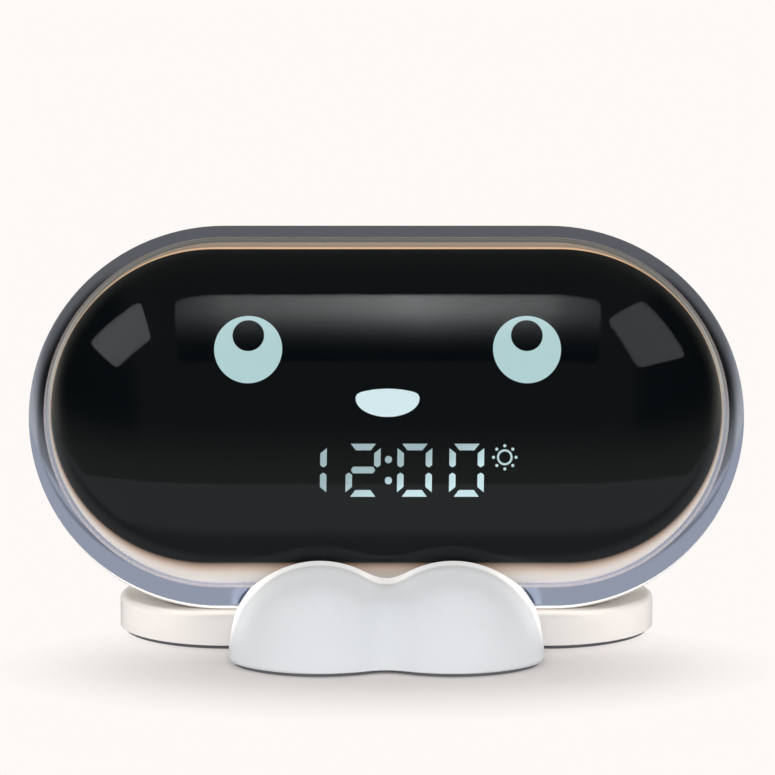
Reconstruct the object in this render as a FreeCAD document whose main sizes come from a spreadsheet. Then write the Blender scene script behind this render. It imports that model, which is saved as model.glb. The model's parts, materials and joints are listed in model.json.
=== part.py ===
import FreeCAD, Part
import math
import os
import Sketcher

# Kids alarm clock with a night light: a domed oval head that leans back on an oval foot,
# with a milky twin-paw lamp in front of the foot.
# World frame: X to the right, -Y towards the child, Z up, origin in the middle of the foot's sole.
# Head frame: "ahead" runs out of the face, "high" runs up the face, both from the joint plane
# between the rear shell and the rim.

document = FreeCAD.newDocument("kids_alarm_clock")
sheet = document.addObject("Spreadsheet::Sheet", "Sizes")

sizes = {
    # head, outer form
    "head_half_flat": 39.4,
    "head_radius": 46.7,
    "head_tilt": 21.0,
    "head_back": 9.9,
    "head_lift": 7.5,
    "rear_depth": 37.0,
    "side_radius": 80.0,
    "corner_radius": 26.0,
    "shell_wall": 2.4,
    # lens, face and light ring
    "rim_wide": 3.9,
    "lens_foot": 1.2,
    "dome_base": 3.0,
    "dome_depth": 20.0,
    "dome_shoulder": 12.0,
    "lens_wall": 1.2,
    "layer_gap": 0.1,
    "mask_wall": 1.6,
    "mask_stretch": 2.4,
    "ring_wide": 5.0,
    "ring_lap": 0.8,
    "fit_gap": 0.05,
    # face
    "eye_spread": 33.0,
    "eye_high": 11.4,
    "eye_radius": 8.3,
    "pupil_high": 14.9,
    "pupil_radius": 3.8,
    "nose_top": 0.6,
    "nose_low": -1.8,
    "nose_half_width": 6.9,
    "nose_brow_radius": 25.0,
    "nose_chin_radius": 8.3,
    "nose_corner_radius": 1.3,
    "digit_middle": -17.75,
    "digit_tall": 12.4,
    "digit_wide": 8.4,
    "digit_stroke": 1.75,
    "digit_slant": 5.0,
    "digit_joint_gap": 0.35,
    "digit_pitch_minutes": 12.25,
    "hour_tens_right": -14.3,
    "hour_units_left": -10.0,
    "minute_tens_left": 2.25,
    "colon_left": 0.15,
    "colon_spread": 2.45,
    "colon_dot_radius": 0.95,
    "sun_left": 27.7,
    "sun_high": -14.85,
    "sun_ring_radius": 1.55,
    "sun_ring_stroke": 0.55,
    "sun_ray_ring": 2.6,
    "sun_ray_radius": 0.4,
    # head, inside
    "frame_plate": 2.4,
    "frame_gap": 0.2,
    "frame_lap": 4.5,
    "post_radius": 1.6,
    "post_inset": 0.8,
    "post_spread": 26.0,
    "board_thick": 1.6,
    "display_board_ahead": 4.2,
    "display_board_inset": 1.0,
    "light_box_plate": 1.2,
    "ring_lamp_room": 3.6,
    "light_box_wall": 1.2,
    "tube_gap": 0.8,
    "led_long": 3.4,
    "led_wide": 2.6,
    "led_tall": 1.1,
    "main_board_back": 27.0,
    "main_board_left": -18.0,
    "main_board_right": 62.0,
    "main_board_half_tall": 17.0,
    "standoff_radius": 3.0,
    "battery_long": 46.0,
    "battery_tall": 22.0,
    "battery_thick": 8.0,
    "battery_left": 0.0,
    # case screws
    "screw_spread": 34.0,
    "screw_inset": 20.2,
    "screw_seat_back": 30.0,
    "screw_boss_radius": 4.6,
    "screw_well_radius": 3.3,
    "screw_head_radius": 2.8,
    "screw_head_tall": 2.0,
    "screw_shank_radius": 1.45,
    "screw_long": 10.0,
    "frame_boss_radius": 3.6,
    "pilot_radius": 1.5,
    # rear controls
    "button_radius": 4.5,
    "button_gap": 0.3,
    "button_proud": 1.6,
    "button_dome": 0.6,
    "button_flange_radius": 5.8,
    "button_flange_thick": 1.0,
    "button_stem_radius": 2.0,
    "button_travel": 0.8,
    "button_high": 9.0,
    "button_first": -6.0,
    "button_pitch": 14.0,
    "tact_side": 6.0,
    "tact_tall": 3.5,
    "tact_plunger_radius": 1.7,
    "tact_plunger_tall": 0.6,
    "switch_left": 46.0,
    "switch_high": -10.0,
    "switch_body_long": 14.0,
    "switch_body_tall": 6.0,
    "switch_travel": 2.0,
    "knob_long": 5.0,
    "knob_tall": 3.4,
    "knob_proud": 1.0,
    "knob_flange_long": 9.0,
    "knob_flange_tall": 5.4,
    "socket_left": 20.0,
    "socket_high": -10.0,
    "socket_half_flat": 2.85,
    "socket_radius": 1.65,
    "socket_wall": 0.35,
    "socket_gap": 0.25,
    "socket_sunk": 0.5,
    "socket_deep": 6.5,
    "tongue_long": 6.6,
    "tongue_tall": 0.7,
    # speaker
    "speaker_left": -36.0,
    "speaker_radius": 18.0,
    "gasket_thick": 0.8,
    "gasket_wide": 2.5,
    "basket_flange": 1.2,
    "basket_deep": 8.0,
    "basket_throat": 10.0,
    "basket_wall": 0.8,
    "magnet_radius": 9.6,
    "magnet_thick": 5.0,
    "cone_wall": 0.5,
    "grille_slots": 7,
    "grille_pitch": 3.9,
    "grille_slot": 1.8,
    "grille_radius": 14.0,
    # foot
    "foot_half_flat": 38.0,
    "foot_radius": 27.0,
    "foot_top": 8.8,
    "foot_edge": 1.6,
    "foot_wall": 2.0,
    "foot_roof": 2.2,
    "sole_thick": 1.0,
    "sole_inset": 1.2,
    "plate_thick": 1.4,
    "plate_gap": 0.15,
    "saddle_half_flat": 33.0,
    "saddle_radius": 17.0,
    "saddle_back": -4.0,
    "saddle_gap": 0.1,
    "cable_radius": 3.0,
    "foot_screw_end": 57.0,
    "foot_screw_spread": 30.0,
    "foot_screw_back": 19.5,
    "foot_boss_radius": 3.2,
    "small_screw_head": 2.2,
    "small_screw_shank": 1.1,
    "small_screw_tall": 0.9,
    "small_screw_long": 4.5,
    "neck_screw_spread": 20.0,
    "neck_screw_back": -6.0,
    "neck_boss_radius": 4.0,
    "neck_boss_low": 6.0,
    "neck_boss_top": 16.0,
    "neck_screw_long": 9.0,
    "notch_half": 35.0,
    # paw lamp
    "paw_spread": 15.75,
    "paw_radius": 21.5,
    "paw_axis": 1.9,
    "paw_nose_start": 40.0,
    "paw_nose_deep": 17.5,
    "paw_shoulder": 14.0,
    "paw_wall": 2.0,
    "paw_crease": 8.0,
    "paw_gap": 0.15,
    "paw_board_long": 52.0,
    "paw_board_deep": 16.0,
    "paw_board_front": 48.0,
    "paw_led_pitch": 9.0,
    "paw_led_count": 5,
}

for row, (alias, value) in enumerate(sizes.items(), start=1):
    sheet.set(f"A{row}", alias.replace("_", " "))
    sheet.set(f"B{row}", str(value))
    sheet.setAlias(f"B{row}", alias)
document.recompute()


class Size:
    """A length that keeps both its value and the sheet expression that gives it."""

    def __init__(self, value, text):
        self.value = value
        self.text = text

    def __add__(self, other):
        other = as_size(other)
        return Size(self.value + other.value, f"({self.text} + {other.text})")

    def __sub__(self, other):
        other = as_size(other)
        return Size(self.value - other.value, f"({self.text} - {other.text})")

    def __mul__(self, other):
        other = as_size(other)
        return Size(self.value * other.value, f"({self.text} * {other.text})")

    def __truediv__(self, other):
        other = as_size(other)
        return Size(self.value / other.value, f"({self.text} / {other.text})")

    def __neg__(self):
        return Size(-self.value, f"(0 - {self.text})")

    def root(self):
        return Size(math.sqrt(self.value), f"sqrt({self.text})")

    def sine(self):
        return Size(math.sin(math.radians(self.value)), f"sin({self.text} * 1 deg)")

    def cosine(self):
        return Size(math.cos(math.radians(self.value)), f"cos({self.text} * 1 deg)")


def as_size(number):
    """A plain number as a Size, so that it can stand in an expression."""
    return number if isinstance(number, Size) else Size(float(number), f"({number})")


class Sheet:
    """The sheet's cells by name, each one as a Size."""

    def __getattr__(self, alias):
        return Size(float(getattr(sheet, alias)), f"Sizes.{alias}")


s = Sheet()
ZERO = as_size(0)
BOTH_WAYS = (1, -1)

# What follows the head's radius: its height above the floor, the lens, the face and the ring inside
# it, the boards behind them and the case screws
head_up = s.head_radius + s.head_lift
lens_radius = s.head_radius - s.rim_wide
mask_radius = lens_radius - s.ring_wide
mask_half_flat = s.head_half_flat + s.mask_stretch
ring_inner_radius = mask_radius - s.ring_lap
display_board_radius = ring_inner_radius - s.display_board_inset
light_box_radius = display_board_radius - s.ring_lamp_room
post_ring = display_board_radius - s.post_inset
screw_high = s.head_radius - s.screw_inset
frame_opening = screw_high - s.frame_lap


def head_place(thing, left=ZERO, high=ZERO):
    """Lean a piece back with the head, with its origin at a point of the head's joint plane."""
    back = high * s.head_tilt.sine() - s.head_back
    up = high * s.head_tilt.cosine() + head_up
    thing.Placement = FreeCAD.Placement(
        FreeCAD.Vector(left.value, back.value, up.value),
        FreeCAD.Rotation(FreeCAD.Vector(1, 0, 0), -s.head_tilt.value),
    )
    thing.setExpression("Placement.Base.x", left.text)
    thing.setExpression("Placement.Base.y", back.text)
    thing.setExpression("Placement.Base.z", up.text)
    thing.setExpression("Placement.Rotation.Angle", (-s.head_tilt).text)


def new_body(name, in_head=True):
    """An empty body, in the head frame or in the world frame."""
    body = document.addObject("PartDesign::Body", name)
    body.Label = name
    if in_head:
        head_place(body)
    return body


def origin_plane(body, role):
    """One of the body's own three planes."""
    return next(feature for feature in body.Origin.OriginFeatures if feature.Role == role)


def new_sketch(body, role, name, offset=ZERO):
    """A sketch on one of the body's planes, moved along that plane's normal."""
    sketch = body.newObject("Sketcher::SketchObject", name)
    sketch.AttachmentSupport = (origin_plane(body, role), "")
    sketch.MapMode = "FlatFace"
    sketch.setExpression("AttachmentOffset.Base.z", offset.text)
    return sketch


def bind(sketch, kind, where, size):
    """One driving dimension of a sketch, bound to the sheet."""
    index = sketch.addConstraint(Sketcher.Constraint(kind, *where, size.value))
    sketch.setExpression(f"Constraints[{index}]", size.text)


def pin(sketch, element, end, across, up):
    """Fix one point of a sketch by its two distances from the middle."""
    bind(sketch, "DistanceX", (-1, 1, element, end), across)
    bind(sketch, "DistanceY", (-1, 1, element, end), up)


def outline(sketch, points, arcs=None, half_turns=()):
    """A closed outline through the points; arcs maps an edge's number to its radius.

    An arc with a positive radius turns left on the way, one with a negative radius turns right.
    An upright half turn is held by its middle, since its radius follows from its ends.
    """
    arcs = arcs or {}
    first = sketch.GeometryCount
    ends = []
    for number, (start, finish) in enumerate(zip(points, points[1:] + points[:1])):
        a = FreeCAD.Vector(start[0].value, start[1].value, 0)
        b = FreeCAD.Vector(finish[0].value, finish[1].value, 0)
        if number not in arcs:
            sketch.addGeometry(Part.LineSegment(a, b))
            ends.append((1, 2))
            continue
        left = arcs[number].value > 0
        radius = abs(arcs[number].value)
        chord = b - a
        reach = math.sqrt(max(radius ** 2 - chord.Length ** 2 / 4, 0.0))
        normal = FreeCAD.Vector(-chord.y, chord.x, 0).normalize()
        centre = (a + b) / 2 + normal * (reach if left else -reach)
        low, high = (a, b) if left else (b, a)
        circle = Part.Circle(centre, FreeCAD.Vector(0, 0, 1), radius)
        angles = [math.atan2(p.y - centre.y, p.x - centre.x) for p in (low, high)]
        sketch.addGeometry(Part.ArcOfCircle(circle, *angles))
        ends.append((1, 2) if left else (2, 1))
    count = len(points)
    for number in range(count):
        here = first + number
        following = first + (number + 1) % count
        pin(sketch, here, ends[number][0], *points[number])
        joined = ("Coincident", here, ends[number][1], following, ends[(number + 1) % count][0])
        sketch.addConstraint(Sketcher.Constraint(*joined))
        if number in half_turns:
            bind(sketch, "DistanceX", (-1, 1, here, 3), points[number][0])
        elif number in arcs:
            size = arcs[number]
            bind(sketch, "Radius", (here,), size if size.value > 0 else -size)


def circle(sketch, across, up, radius):
    """A circle in a sketch."""
    middle = FreeCAD.Vector(across.value, up.value, 0)
    here = sketch.addGeometry(Part.Circle(middle, FreeCAD.Vector(0, 0, 1), radius.value))
    pin(sketch, here, 3, across, up)
    bind(sketch, "Radius", (here,), radius)


def rectangle(sketch, across, up, wide, tall):
    """A rectangle in a sketch, given by its middle and its sides."""
    left, right = across - wide / 2, across + wide / 2
    low, high = up - tall / 2, up + tall / 2
    outline(sketch, [(left, low), (right, low), (right, high), (left, high)])


def stadium(sketch, half_flat, radius, across=ZERO, up=ZERO):
    """A straight-sided oval: two half circles joined by two flats."""
    left, right = across - half_flat, across + half_flat
    low, high = up - radius, up + radius
    corners = [(left, low), (right, low), (right, high), (left, high)]
    outline(sketch, corners, {1: radius, 3: radius}, half_turns=(1, 3))


def pad(body, sketch, length, reverse=False):
    """Raise a sketch into the body."""
    feature = body.newObject("PartDesign::Pad", sketch.Name + "_pad")
    feature.Profile = sketch
    feature.Reversed = reverse
    feature.setExpression("Length", length.text)
    document.recompute()
    return feature


def pocket(body, sketch, length=None, reverse=False):
    """Cut a sketch into the body, to a depth or right through both ways."""
    before = body.Tip.Shape.Volume
    feature = body.newObject("PartDesign::Pocket", sketch.Name + "_cut")
    feature.Profile = sketch
    if length is None:
        feature.Type = "ThroughAll"
        feature.Midplane = True
    else:
        feature.Reversed = reverse
        feature.setExpression("Length", length.text)
    document.recompute()
    if feature.Shape.Volume >= before - 1e-6:
        raise RuntimeError(f"{sketch.Name} cuts nothing")
    return feature


def mirror(body, feature, role):
    """Repeat a feature on the other side of one of the body's planes."""
    copy = body.newObject("PartDesign::Mirrored", feature.Name + "_mirror")
    copy.Originals = [feature]
    copy.MirrorPlane = (origin_plane(body, role), [""])
    body.Tip = copy
    document.recompute()
    return copy


def around_head(name, points, arcs):
    """Carry a profile (ahead, high) round the head's oval: flats above and below, half turns at the ends."""
    body = new_body(name)
    sketch = new_sketch(body, "YZ_Plane", name + "_profile", s.head_half_flat)
    flipped = [(-ahead, high) for ahead, high in points]
    outline(sketch, flipped, {edge: -radius for edge, radius in arcs.items()})
    end = body.newObject("PartDesign::Revolution", name + "_end")
    end.Profile = sketch
    end.ReferenceAxis = (sketch, ["H_Axis"])
    end.Angle = 180
    document.recompute()
    middle = pad(body, sketch, s.head_half_flat * 2, reverse=True)
    mirror(body, middle, "XY_Plane")
    mirror(body, end, "YZ_Plane")
    return body


def head_sketch(body, name, ahead=ZERO):
    """A sketch that faces out of the face, at a distance ahead of the joint plane."""
    return new_sketch(body, "XZ_Plane", name, ahead)


def head_block(name, left, high, wide, tall, start, finish):
    """A rectangular block in the head, between two distances ahead."""
    body = new_body(name)
    sketch = head_sketch(body, name + "_outline", start)
    rectangle(sketch, left, high, wide, tall)
    pad(body, sketch, finish - start)
    return body


def common(name, base, tool):
    """What two solids share, as a sub-part of its own."""
    shared = document.addObject("Part::Common", name)
    shared.Base = base
    shared.Tool = tool
    shared.Label = name
    document.recompute()
    return shared


def cut(name, base, tool):
    """A solid less another one, as a sub-part of its own."""
    rest = document.addObject("Part::Cut", name)
    rest.Base = base
    rest.Tool = tool
    rest.Label = name
    document.recompute()
    return rest


def fuse(name, members):
    """Several solids as one."""
    whole = document.addObject("Part::MultiFuse", name)
    whole.Shapes = members
    whole.Label = name
    document.recompute()
    return whole


# A dome's profile, seen from the side: a shoulder arc round its edge and a crown arc over its middle.
# Both arcs share their tangent where they meet, on the line through their two centres.
def dome_curve(radius, deep, shoulder, inset):
    """Points (ahead of the base, high) and arc radii of a dome, set in by inset."""
    reach = radius - shoulder
    rise = deep - shoulder
    crown = (reach * reach + deep * deep - shoulder * shoulder) / (rise * 2)
    sine = reach / (crown - shoulder)
    cosine = (crown - deep) / (crown - shoulder)
    points = [
        (ZERO, radius - inset),
        (deep - crown + (crown - inset) * cosine, (crown - inset) * sine),
        (deep - inset, ZERO),
    ]
    return points, shoulder - inset, crown - inset


def face_dome(inset):
    """The face's dome, from its base to its crown, set in from the lens's outside."""
    points, shoulder, crown = dome_curve(lens_radius, s.dome_depth, s.dome_shoulder, inset)
    return [(s.dome_base + ahead, high) for ahead, high in points], shoulder, crown


# The rear's profile: a long side arc that leaves the joint plane square, then a corner arc,
# then the flat back. Where the arcs meet, they have turned by the angle whose sine is here.
def rear_curve(inset):
    """Points (ahead, high) and arc radii of the rear, from the joint plane to mid back, set in."""
    sine = (s.rear_depth - s.corner_radius) / (s.side_radius - s.corner_radius)
    cosine = (as_size(1) - sine * sine).root()
    side_middle = s.head_radius - s.side_radius
    corner_high = side_middle + (s.side_radius - s.corner_radius) * cosine
    points = [
        (ZERO, s.head_radius - inset),
        (-((s.side_radius - inset) * sine), side_middle + (s.side_radius - inset) * cosine),
        (inset - s.rear_depth, corner_high),
        (inset - s.rear_depth, ZERO),
    ]
    return points, s.side_radius - inset, s.corner_radius - inset


def dome_shell(name, inset, wall, foot):
    """A domed shell with a straight skirt down to its foot."""
    outside, outer_shoulder, outer_crown = face_dome(inset)
    inside, inner_shoulder, inner_crown = face_dome(inset + wall)
    skirt = lens_radius - inset
    points = [(foot, skirt)] + outside + inside[::-1] + [(foot, skirt - wall)]
    arcs = {1: -outer_shoulder, 2: -outer_crown, 4: inner_crown, 5: inner_shoulder}
    return around_head(name, points, arcs)


def dome_solid(name, inset):
    """The space under a dome, down to the joint plane."""
    outside, shoulder, crown = face_dome(inset)
    points = [(ZERO, lens_radius - inset)] + outside + [(ZERO, ZERO)]
    return around_head(name, points, {1: -shoulder, 2: -crown})


# Distances along the head
band_inner = lens_radius + s.fit_gap
band_radius = s.head_radius - band_inner
face_inset = s.lens_wall + s.layer_gap
shell_inner = s.head_radius - s.shell_wall
inner_back = s.rear_depth - s.shell_wall
display_front = s.display_board_ahead + s.board_thick
main_board_front = s.main_board_back - s.board_thick
board_posts = [
    (left, high)
    for left in (s.main_board_left + s.standoff_radius, s.main_board_right - s.standoff_radius)
    for high in (s.main_board_half_tall - s.standoff_radius, s.standoff_radius - s.main_board_half_tall)
]
case_screw_spots = [(s.screw_spread * x, screw_high * z) for x in BOTH_WAYS for z in BOTH_WAYS]
button_names = ["button_time", "button_alarm", "button_up", "button_down", "button_light"]
button_spots = [s.button_first + s.button_pitch * number for number in range(len(button_names))]


# Clear front lens
front_lens = dome_shell("front_lens", ZERO, s.lens_wall, s.lens_foot)

# Glossy rim that frames the lens
rim_points = [(ZERO, band_inner), (ZERO, s.head_radius), (band_radius, band_inner)]
rim_band = around_head("rim_band", rim_points, {1: -band_radius})


# Pale ring that glows round the face: a flange under the lens and a domed wall up to the face's edge
def make_light_ring():
    outside, outer_shoulder, outer_crown = face_dome(face_inset)
    inside, inner_shoulder, inner_crown = face_dome(face_inset + s.mask_wall)
    flange = s.lens_foot - s.fit_gap
    skirt = lens_radius - face_inset
    points = [(ZERO, ring_inner_radius), (ZERO, lens_radius - s.fit_gap)]
    points += [(flange, lens_radius - s.fit_gap), (flange, skirt)]
    points += outside + inside[::-1]
    points += [(flange, skirt - s.mask_wall), (flange, ring_inner_radius)]
    arcs = {4: -outer_shoulder, 5: -outer_crown, 7: inner_crown, 8: inner_shoulder}
    ring = around_head("light_ring", points, arcs)
    opening = head_sketch(ring, "face_opening")
    stadium(opening, mask_half_flat, mask_radius + s.fit_gap)
    pocket(ring, opening)
    return ring


light_ring = make_light_ring()


# Black face: the dome inside the face's outline, then its windows
def make_face_blank():
    blank = dome_shell("face_blank", face_inset, s.mask_wall, s.lens_foot)
    outside = head_sketch(blank, "face_outline")
    stadium(outside, s.head_half_flat, s.head_radius)
    stadium(outside, mask_half_flat, mask_radius)
    pocket(blank, outside)
    return blank


def face_prism(name, draw):
    """A straight prism through the face, with the outline that draw puts in its sketch."""
    body = new_body(name)
    sketch = head_sketch(body, name + "_outline")
    draw(sketch)
    pad(body, sketch, s.dome_base + s.dome_depth)
    return body


def draw_nose(sketch):
    """A half-moon nose: a flat brow arc, a deep chin arc and two small corner arcs."""
    points = [
        (s.nose_half_width, s.nose_top),
        (-s.nose_half_width, s.nose_top),
        (-s.nose_half_width, s.nose_low),
        (s.nose_half_width, s.nose_low),
    ]
    arcs = {0: s.nose_brow_radius, 1: s.nose_corner_radius, 2: s.nose_chin_radius, 3: s.nose_corner_radius}
    outline(sketch, points, arcs)


face_blank = make_face_blank()
eye_prisms = {}
pupil_prisms = {}
for side, way in (("left", -1), ("right", 1)):
    spread = s.eye_spread * way
    eye_prisms[side] = face_prism(
        side + "_eye_prism", lambda sketch: circle(sketch, spread, s.eye_high, s.eye_radius)
    )
    pupil_prisms[side] = face_prism(
        side + "_pupil_prism", lambda sketch: circle(sketch, spread, s.pupil_high, s.pupil_radius)
    )
nose_prism = face_prism("nose_prism", draw_nose)


# Figures of the time. Each figure is seven bars; a bar is a hexagon with mitred ends.
# The bars' middles lie on the figure's box: top, upper left, upper right, middle, lower left,
# lower right, bottom. The whole figure leans by the slant.
BARS = {
    "top": (0, 1, True),
    "upper_left": (-1, 0.5, False),
    "upper_right": (1, 0.5, False),
    "middle": (0, 0, True),
    "lower_left": (-1, -0.5, False),
    "lower_right": (1, -0.5, False),
    "bottom": (0, -1, True),
}
FIGURES = {
    "1": ("upper_right", "lower_right"),
    "2": ("top", "upper_right", "middle", "lower_left", "bottom"),
    "0": ("top", "upper_left", "upper_right", "lower_left", "lower_right", "bottom"),
}


def bar_prism(left, bar):
    """One bar of a figure whose box starts at left, as a straight prism through the face."""
    stroke = s.digit_stroke.value
    half_wide = (s.digit_wide.value - stroke) / 2
    half_tall = (s.digit_tall.value - stroke) / 2
    across, up, flat = BARS[bar]
    middle_x, middle_z = across * half_wide, up * half_tall
    reach = (half_wide if flat else half_tall / 2) - s.digit_joint_gap.value / 2
    half = stroke / 2
    corners = [(-reach, 0), (half - reach, half), (reach - half, half)]
    corners += [(reach, 0), (reach - half, -half), (half - reach, -half)]
    lean = math.tan(math.radians(s.digit_slant.value))
    figure_middle = left.value + s.digit_wide.value / 2
    points = []
    for along, off in corners:
        x, z = (along, off) if flat else (off, along)
        x, z = middle_x + x, middle_z + z
        points.append(FreeCAD.Vector(figure_middle + x + lean * z, 0, s.digit_middle.value + z))
    face = Part.Face(Part.makePolygon(points + points[:1]))
    return face.extrude(FreeCAD.Vector(0, -(s.dome_base + s.dome_depth).value, 0))


def round_prism(left, high, radius, inner=0.0):
    """A round bar through the face, or a tube where an inner radius is given."""
    start = FreeCAD.Vector(left, 0, high)
    ahead = FreeCAD.Vector(0, -1, 0)
    length = (s.dome_base + s.dome_depth).value
    prism = Part.makeCylinder(radius, length, start, ahead)
    return prism.cut(Part.makeCylinder(inner, length, start, ahead)) if inner else prism


def time_prisms():
    """The bars of twelve o'clock and the two dots between hours and minutes."""
    places = [
        ("1", s.hour_tens_right - s.digit_wide),
        ("2", s.hour_units_left),
        ("0", s.minute_tens_left),
        ("0", s.minute_tens_left + s.digit_pitch_minutes),
    ]
    prisms = [bar_prism(left, bar) for figure, left in places for bar in FIGURES[figure]]
    for way in BOTH_WAYS:
        high = s.digit_middle + s.colon_spread * way
        prisms.append(round_prism(s.colon_left.value, high.value, s.colon_dot_radius.value))
    return prisms


def sun_prisms():
    """A ring with a circle of dots round it, the sign for day."""
    left, high = s.sun_left.value, s.sun_high.value
    ring = s.sun_ring_radius.value
    half = s.sun_ring_stroke.value / 2
    prisms = [round_prism(left, high, ring + half, ring - half)]
    rays = 8
    for number in range(rays):
        angle = 2 * math.pi * number / rays
        x = left + s.sun_ray_ring.value * math.cos(angle)
        z = high + s.sun_ray_ring.value * math.sin(angle)
        prisms.append(round_prism(x, z, s.sun_ray_radius.value))
    return prisms


def head_feature(name, shape):
    """A computed shape as a sub-part of the head."""
    feature = document.addObject("Part::Feature", name)
    feature.Shape = shape
    feature.Label = name
    head_place(feature)
    document.recompute()
    return feature


def in_face(prisms):
    """What prisms share with the face, each one as a separate solid."""
    blank = face_blank.Shape.copy()
    blank.Placement = FreeCAD.Placement()
    return Part.makeCompound([blank.common(prism).Solids[0] for prism in prisms])


time_segments = head_feature("time_segments", in_face(time_prisms()))
sun_icon = head_feature("sun_icon", in_face(sun_prisms()))
sign_prisms = head_feature("sign_prisms", Part.makeCompound(time_prisms() + sun_prisms()))
windows = fuse("face_windows", list(eye_prisms.values()) + [nose_prism])
face_mask = cut("face_mask", cut("face_with_signs", face_blank, windows), sign_prisms)
nose_window = common("nose_window", face_blank, nose_prism)
eyes = []
for side in ("left", "right"):
    whole_eye = common(side + "_eye_blank", face_blank, eye_prisms[side])
    eyes.append(cut(side + "_eye", whole_eye, pupil_prisms[side]))
    eyes.append(common(side + "_pupil", face_blank, pupil_prisms[side]))


# Light box behind the face: a plate with a tube round each window
def make_light_box():
    body = new_body("light_box_blank")
    plate = head_sketch(body, "light_box_plate", display_front)
    walls = head_sketch(body, "light_box_walls", display_front + s.light_box_plate)
    stadium(plate, s.head_half_flat, light_box_radius)
    stadium(walls, s.head_half_flat, light_box_radius)
    stadium(walls, s.head_half_flat, light_box_radius - s.light_box_wall)
    tube = s.eye_radius + s.tube_gap
    for way in BOTH_WAYS:
        circle(plate, s.eye_spread * way, s.eye_high, tube)
        circle(walls, s.eye_spread * way, s.eye_high, tube)
        circle(walls, s.eye_spread * way, s.eye_high, tube + s.light_box_wall)
    nose_wide = (s.nose_half_width + s.nose_corner_radius + s.tube_gap) * 2
    nose_tall = s.nose_chin_radius
    nose_middle = s.nose_low
    time_left = s.hour_tens_right - s.digit_wide / 2
    time_right = s.sun_left + s.sun_ray_ring + s.tube_gap
    time_wide = time_right - time_left
    time_tall = s.digit_tall + s.tube_gap * 2
    for sketch, wall in ((plate, ZERO), (walls, ZERO), (walls, s.light_box_wall)):
        rectangle(sketch, ZERO, nose_middle, nose_wide + wall * 2, nose_tall + wall * 2)
        middle = (time_left + time_right) / 2
        rectangle(sketch, middle, s.digit_middle, time_wide + wall * 2, time_tall + wall * 2)
    pad(body, plate, s.light_box_plate)
    pad(body, walls, s.dome_depth)
    space = dome_solid("light_box_space", face_inset + s.mask_wall + s.layer_gap)
    return common("light_box", body, space)


light_box = make_light_box()


# Boards, lamps and the frame that carries them
def make_display_board():
    body = new_body("display_board")
    sketch = head_sketch(body, "display_board_outline", s.display_board_ahead)
    stadium(sketch, s.head_half_flat, display_board_radius)
    pad(body, sketch, s.board_thick)
    return body


def head_blocks(name, spots, wide, tall, start, finish):
    """Like blocks at several spots of the head, as one group."""
    body = new_body(name)
    sketch = head_sketch(body, name + "_outline", start)
    for left, high in spots:
        rectangle(sketch, left, high, wide, tall)
    pad(body, sketch, finish - start)
    return body


def display_lamp_spots():
    """Two lamps behind each eye, one behind the nose and a row behind the time."""
    spots = [(s.eye_spread * way + s.led_long * side, s.eye_high) for way in BOTH_WAYS for side in BOTH_WAYS]
    spots.append((ZERO, s.nose_low))
    time_lamps = 5
    for number in range(time_lamps):
        share = number / (time_lamps - 1)
        spots.append((s.hour_tens_right + (s.sun_left - s.hour_tens_right) * share, s.digit_middle))
    return spots


display_board = make_display_board()
display_lamps = head_blocks(
    "display_lamps", display_lamp_spots(), s.led_long, s.led_wide, display_front, display_front + s.led_tall
)
ring_lamp_high = (light_box_radius + display_board_radius) / 2
ring_lamp_spots = [
    (s.head_half_flat * (share / 3), ring_lamp_high * way) for share in (-3, -1, 1, 3) for way in BOTH_WAYS
]
ring_lamps = head_blocks(
    "ring_lamps", ring_lamp_spots, s.led_long, s.led_wide, display_front, display_front + s.led_tall
)


def make_front_frame():
    body = new_body("front_frame")
    plate = head_sketch(body, "frame_outline", -s.frame_plate)
    stadium(plate, s.head_half_flat, shell_inner - s.frame_gap)
    stadium(plate, s.head_half_flat, frame_opening)
    pad(body, plate, s.frame_plate)
    posts = head_sketch(body, "frame_posts")
    for way in BOTH_WAYS:
        circle(posts, (s.head_half_flat + post_ring) * way, ZERO, s.post_radius)
        for side in BOTH_WAYS:
            circle(posts, s.post_spread * side, post_ring * way, s.post_radius)
    pad(body, posts, s.display_board_ahead)
    bosses = head_sketch(body, "frame_bosses", -s.frame_plate)
    pilots = head_sketch(body, "frame_pilots", -s.frame_plate)
    for left, high in case_screw_spots:
        circle(bosses, left, high, s.frame_boss_radius)
        circle(pilots, left, high, s.screw_shank_radius + s.fit_gap)
    boss_long = s.screw_seat_back - s.shell_wall / 2 - s.frame_plate - s.fit_gap
    pad(body, bosses, boss_long, reverse=True)
    pocket(body, pilots, boss_long + s.frame_plate, reverse=False)
    return body


front_frame = make_front_frame()


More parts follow.
